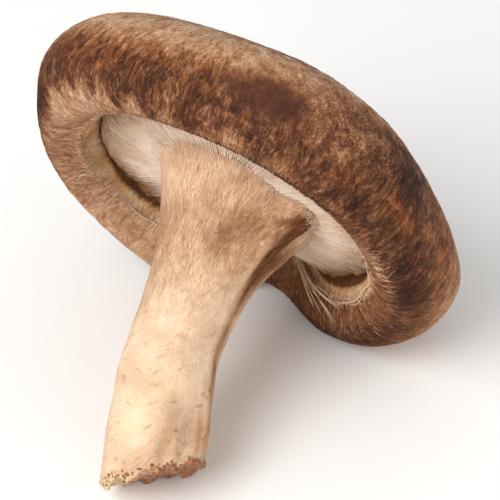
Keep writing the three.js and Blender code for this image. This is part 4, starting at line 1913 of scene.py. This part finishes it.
    def radius(self, share: float) -> float:
        """The radius at a share of the length, eased between the stated places."""
        number = max(1, next(i for i, (at, _) in enumerate(self.radii) if at >= share - 1e-9))
        (start, from_radius), (end, to_radius) = self.radii[number - 1 : number + 1]
        t = float(smoothstep(np.array(share), start, end))
        return from_radius + (to_radius - from_radius) * t

    def ring(self, share: float, spread: float) -> np.ndarray:
        """One ring of the skin.

        Args:
            share: The share of the length, from 0 in the cap to 1 at the foot.
            spread: The share of the radius there.

        Returns:
            The points of the ring, in millimetres.
        """
        angle = np.arange(self.columns) * (2 * math.pi / self.columns)
        centre, tangent = self.line(share)
        along = -tangent
        right = np.cross((0.0, 1.0, 0.0), along)
        right = right / np.linalg.norm(right)
        back = np.cross(along, right)
        foot = float(smoothstep(np.array(share), 0.8, 1.0))
        waves = np.sin(7 * angle + 2) + 0.6 * np.sin(12 * angle) + 0.5 * np.sin(17 * angle + 1)
        direction, width, depth = self.fold
        turn = turn_from(direction, angle) / width
        low = float(smoothstep(np.array(share), 0.55, 0.9))
        crease = depth * turn * np.exp(0.5 - turn**2) * low
        flare = self.flare.at(angle) * math.exp(-((share / self.flare_fade[0]) ** self.flare_fade[1]))
        radius = self.radius(share) + flare
        radius = spread * (radius * (1 + self.frill[1] * foot * waves) + crease)
        climb = foot * self.foot_cut[1] * np.cos(angle - math.radians(self.foot_cut[0])) * radius
        rise = climb + self.frill[0] * foot * waves * spread**2
        return (
            centre
            + np.outer(radius * np.cos(angle), right)
            + np.outer(radius * np.sin(angle), back)
            + np.outer(rise, along)
        )

    def smooth_skin(self) -> Skin:
        """The skin as a grid, from the middle of the foot up to inside the cap, before any relief."""
        rings = [self.ring(1.0, i / self.foot_rows) for i in range(self.foot_rows + 1)]
        for i in range(1, self.side_rows + 1):
            rings.append(self.ring((1 - i / self.side_rows) ** self.row_ease, 1.0))
        rings += [self.ring(0.0, 1 - i / self.top_rows) for i in range(1, self.top_rows + 1)]
        return Skin(np.stack(rings), self.foot_rows)

    def lay(self, skin: Skin) -> np.ndarray:
        """The place of each grid point in the combed space that the fibres' pattern runs in."""
        turned = skin.angle + 0.01 * skin.arc
        return np.stack([7.0 * np.cos(turned), 7.0 * np.sin(turned), skin.arc], axis=2)

    def fuzz(self, skin: Skin) -> np.ndarray:
        """How fibrous the skin is at each grid point: 1 at the flare, 0 on the smooth lower part."""
        return smoothstep(skin.arc + 2.5 * np.sin(skin.angle + 2.0), *self.fuzzy_band)

    def relief(self, skin: Skin) -> np.ndarray:
        """How high the skin's dents, fibres and ragged foot stand, in millimetres."""
        lay = self.lay(skin) * np.array([1.0, 1.0, 0.25])
        dents = 0.25 * clouds(skin.points, 7.0, 9.1) + 0.06 * clouds(skin.points, 2.4, 4.1)
        fibres = 0.05 * clouds(lay, 0.8, 6.3) * self.fuzz(skin)
        knobs = 0.2 + 0.7 * clouds(skin.points, 1.7, 8.8) + 0.5 * clouds(skin.points, 0.7, 2.2)
        return dents + fibres + patched(self.swells, skin) + bell(skin.arc, -0.2, 0.9) * knobs

    def tone(self, skin: Skin) -> np.ndarray:
        """How light the flesh is at each grid point, from 0 to 1, before its fine pattern."""
        tone = np.interp(skin.arc, self.heights, self.tones)
        tone = tone + patched(self.shades, skin)
        return np.clip(tone + 0.05 * clouds(skin.points, 3.0, 1.2), 0.05, 0.95)

    def marks(self, skin: Skin) -> dict[str, np.ndarray]:
        """What the skin's material reads at each grid point."""
        turn = np.sin(skin.angle - math.radians(self.crust_middle))
        return {
            "lay": self.lay(skin),
            "fuzz": self.fuzz(skin),
            "tone": self.tone(skin),
            "foot": 1.0 - smoothstep(skin.arc, 0.1, 1.5),
            "turn": 0.5 + 0.5 * turn * smoothstep(skin.arc, -self.crust_fade, 0.0),
        }

    def build(self, form: Skin, cap: Cap, lay_down: LaidDown, effects: Effects) -> None:
        """Builds the stem's skin and its two coats of fibres.

        Args:
            form: The stem's skin, before any relief.
            cap: The cap that it grows from.
            lay_down: How the mushroom is laid down.
            effects: The node groups that the finishes share.
        """
        skin = form.raised(self.relief(form))
        mesh = skin.mesh("stem", lay_down, self.marks(form))
        show("stem", mesh, Slot.STEM, StemFlesh().material(effects))
        finish = Fibres("Stem fibres", stops=STRAW).material(effects)
        side = (form.arc > 1.0) & (form.arc < form.arc[-1 - self.top_rows] - 4.0)
        mesh = self.fibres.grow(skin, lay_down, self.fuzz(form) * side, self.tone(form) + 0.02)
        show("stem_fibres", mesh, Slot.STEM, finish)
        across = np.linalg.norm(form.points[..., :2], axis=2)
        under = cap.gill_height(np.arctan2(form.points[..., 1], form.points[..., 0]), across)
        border = bell(under - form.points[..., 2], 0.4, 0.5) * (form.arc > 20.0)
        mesh = self.fringe.grow(skin, lay_down, border, np.full_like(border, 0.82))
        show("flare_fringe", mesh, Slot.STEM, finish)


# ---------------------------------------------------------------------------------------------------
# The studio
# ---------------------------------------------------------------------------------------------------


@dataclass(frozen=True)
class Lamp:
    """A soft square lamp.

    Attributes:
        name: The lamp's name.
        place: Where it stands, in metres.
        size: Its side, in metres.
        power: Its power, in watts.
    """

    name: str
    place: tuple[float, float, float]
    size: float
    power: float

    def build(self, aim: tuple[float, float, float]) -> None:
        """Puts the lamp in the scene, facing a point in metres."""
        light = bpy.data.lights.new(self.name, "AREA")
        light.size = self.size
        light.energy = self.power
        lamp = bpy.data.objects.new(self.name, light)
        lamp.location = self.place
        lamp.rotation_euler = (Vector(aim) - Vector(self.place)).to_track_quat("-Z", "Y").to_euler()
        bpy.context.scene.collection.objects.link(lamp)


@dataclass
class Studio:
    """The floor, the lights and the camera.

    Attributes:
        aim: The point that the camera looks at, in metres.
        azimuth: The way that the camera looks, from +Y towards +X, in degrees.
        elevation: How far the camera stands above the horizon, in degrees.
        roll: How far the camera is rolled, in degrees.
        distance: How far it is from the point that it looks at, in metres.
        lens: Its focal length on a sensor 36 mm wide, in millimetres.
        floor_size: The side of the floor, in metres.
        surround: How bright the white surround is.
        lamps: The lamps.
    """

    aim: tuple[float, float, float] = (0.0, -0.0036, 0.0237)
    azimuth: float = 0.32
    elevation: float = 38.23
    roll: float = 0.16
    distance: float = 0.4079
    lens: float = 213.9
    floor_size: float = 3.0
    surround: float = 0.62
    lamps: tuple[Lamp, ...] = (
        Lamp("Key", (-0.4, -0.4, 0.5), 0.5, 5.0),
        Lamp("Fill", (0.5, -0.5, 0.25), 0.5, 0.8),
    )

    def floor(self) -> None:
        """A plain pale floor."""
        bm = bmesh.new()
        bmesh.ops.create_grid(bm, x_segments=8, y_segments=8, size=self.floor_size / 2)
        mesh = bpy.data.meshes.new("Floor")
        bm.to_mesh(mesh)
        bm.free()
        floor = bpy.data.objects.new("Floor", mesh)
        bpy.context.scene.collection.objects.link(floor)
        paper = bpy.data.materials.new("Paper")
        paper.use_nodes = True
        wiring = Wiring(paper.node_tree)
        shader = paper.node_tree.nodes["Principled BSDF"]
        tint = wiring.noise(wiring.place(), 0.02, 1.0).outputs["Fac"]
        wiring.feed(shader, "Base Color", wiring.ramp(tint, ((0.0, "F4F3F1"), (1.0, "F9F8F6"))))
        wiring.feed(shader, "Roughness", 0.9)
        mesh.materials.append(paper)

    def sky(self) -> None:
        """An even white surround."""
        world = bpy.data.worlds.new("Surround")
        world.use_nodes = True
        background = world.node_tree.nodes["Background"]
        background.inputs["Color"].default_value = (1.0, 1.0, 1.0, 1.0)
        background.inputs["Strength"].default_value = self.surround
        bpy.context.scene.world = world

    def camera(self) -> None:
        """The camera, from the front and above."""
        turn, rise = math.radians(self.azimuth), math.radians(self.elevation)
        ahead = Vector(
            (math.sin(turn) * math.cos(rise), math.cos(turn) * math.cos(rise), -math.sin(rise))
        )
        lens = bpy.data.cameras.new("Camera")
        lens.lens = self.lens
        lens.clip_start = 0.01
        camera = bpy.data.objects.new("Camera", lens)
        camera.location = Vector(self.aim) - ahead * self.distance
        roll = Matrix.Rotation(math.radians(self.roll), 3, "Z")
        camera.rotation_euler = (ahead.to_track_quat("-Z", "Y").to_matrix() @ roll).to_euler()
        bpy.context.scene.collection.objects.link(camera)
        bpy.context.scene.camera = camera

    def build(self) -> None:
        """Sets up the whole studio."""
        bpy.context.scene.view_settings.view_transform = "Standard"
        self.camera()
        self.floor()
        self.sky()
        for lamp in self.lamps:
            lamp.build(self.aim)


# ---------------------------------------------------------------------------------------------------
# Putting it together
# ---------------------------------------------------------------------------------------------------


@dataclass
class Shiitake:
    """The whole mushroom.

    Attributes:
        cap: The cap's form.
        look: What shows on the cap.
        gills: The gills.
        stem: The stem.
        veil: The shreds of the veil.
        lay_down: How it is laid down.
    """

    cap: Cap = field(default_factory=Cap)
    look: CapLook = field(default_factory=CapLook)
    gills: Gills = field(default_factory=Gills)
    stem: Stem = field(default_factory=Stem)
    veil: Veil = Veil()
    lay_down: LaidDown = field(default_factory=LaidDown)

    def build(self, effects: Effects) -> None:
        """Builds and dresses every piece.

        Args:
            effects: The node groups that the finishes share.
        """
        cap_form = self.cap.smooth_skin()
        stem_form = self.stem.smooth_skin()
        both = np.concatenate([cap_form.points.reshape(-1, 3), stem_form.points.reshape(-1, 3)])
        self.lay_down.settle(both, *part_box(NODE))
        self.look.build(cap_form, self.veil, self.lay_down, effects)
        self.gills.build(self.cap, self.lay_down, effects)
        self.stem.build(stem_form, self.cap, self.lay_down, effects)


def main() -> None:
    """Builds the mushroom and its studio."""
    logging.basicConfig(level=logging.INFO, format="%(name)s: %(message)s")
    Studio().build()
    Shiitake().build(Effects(fibre_group(), grain_group(), ragged_group()))


if __name__ == "__main__":
    main()
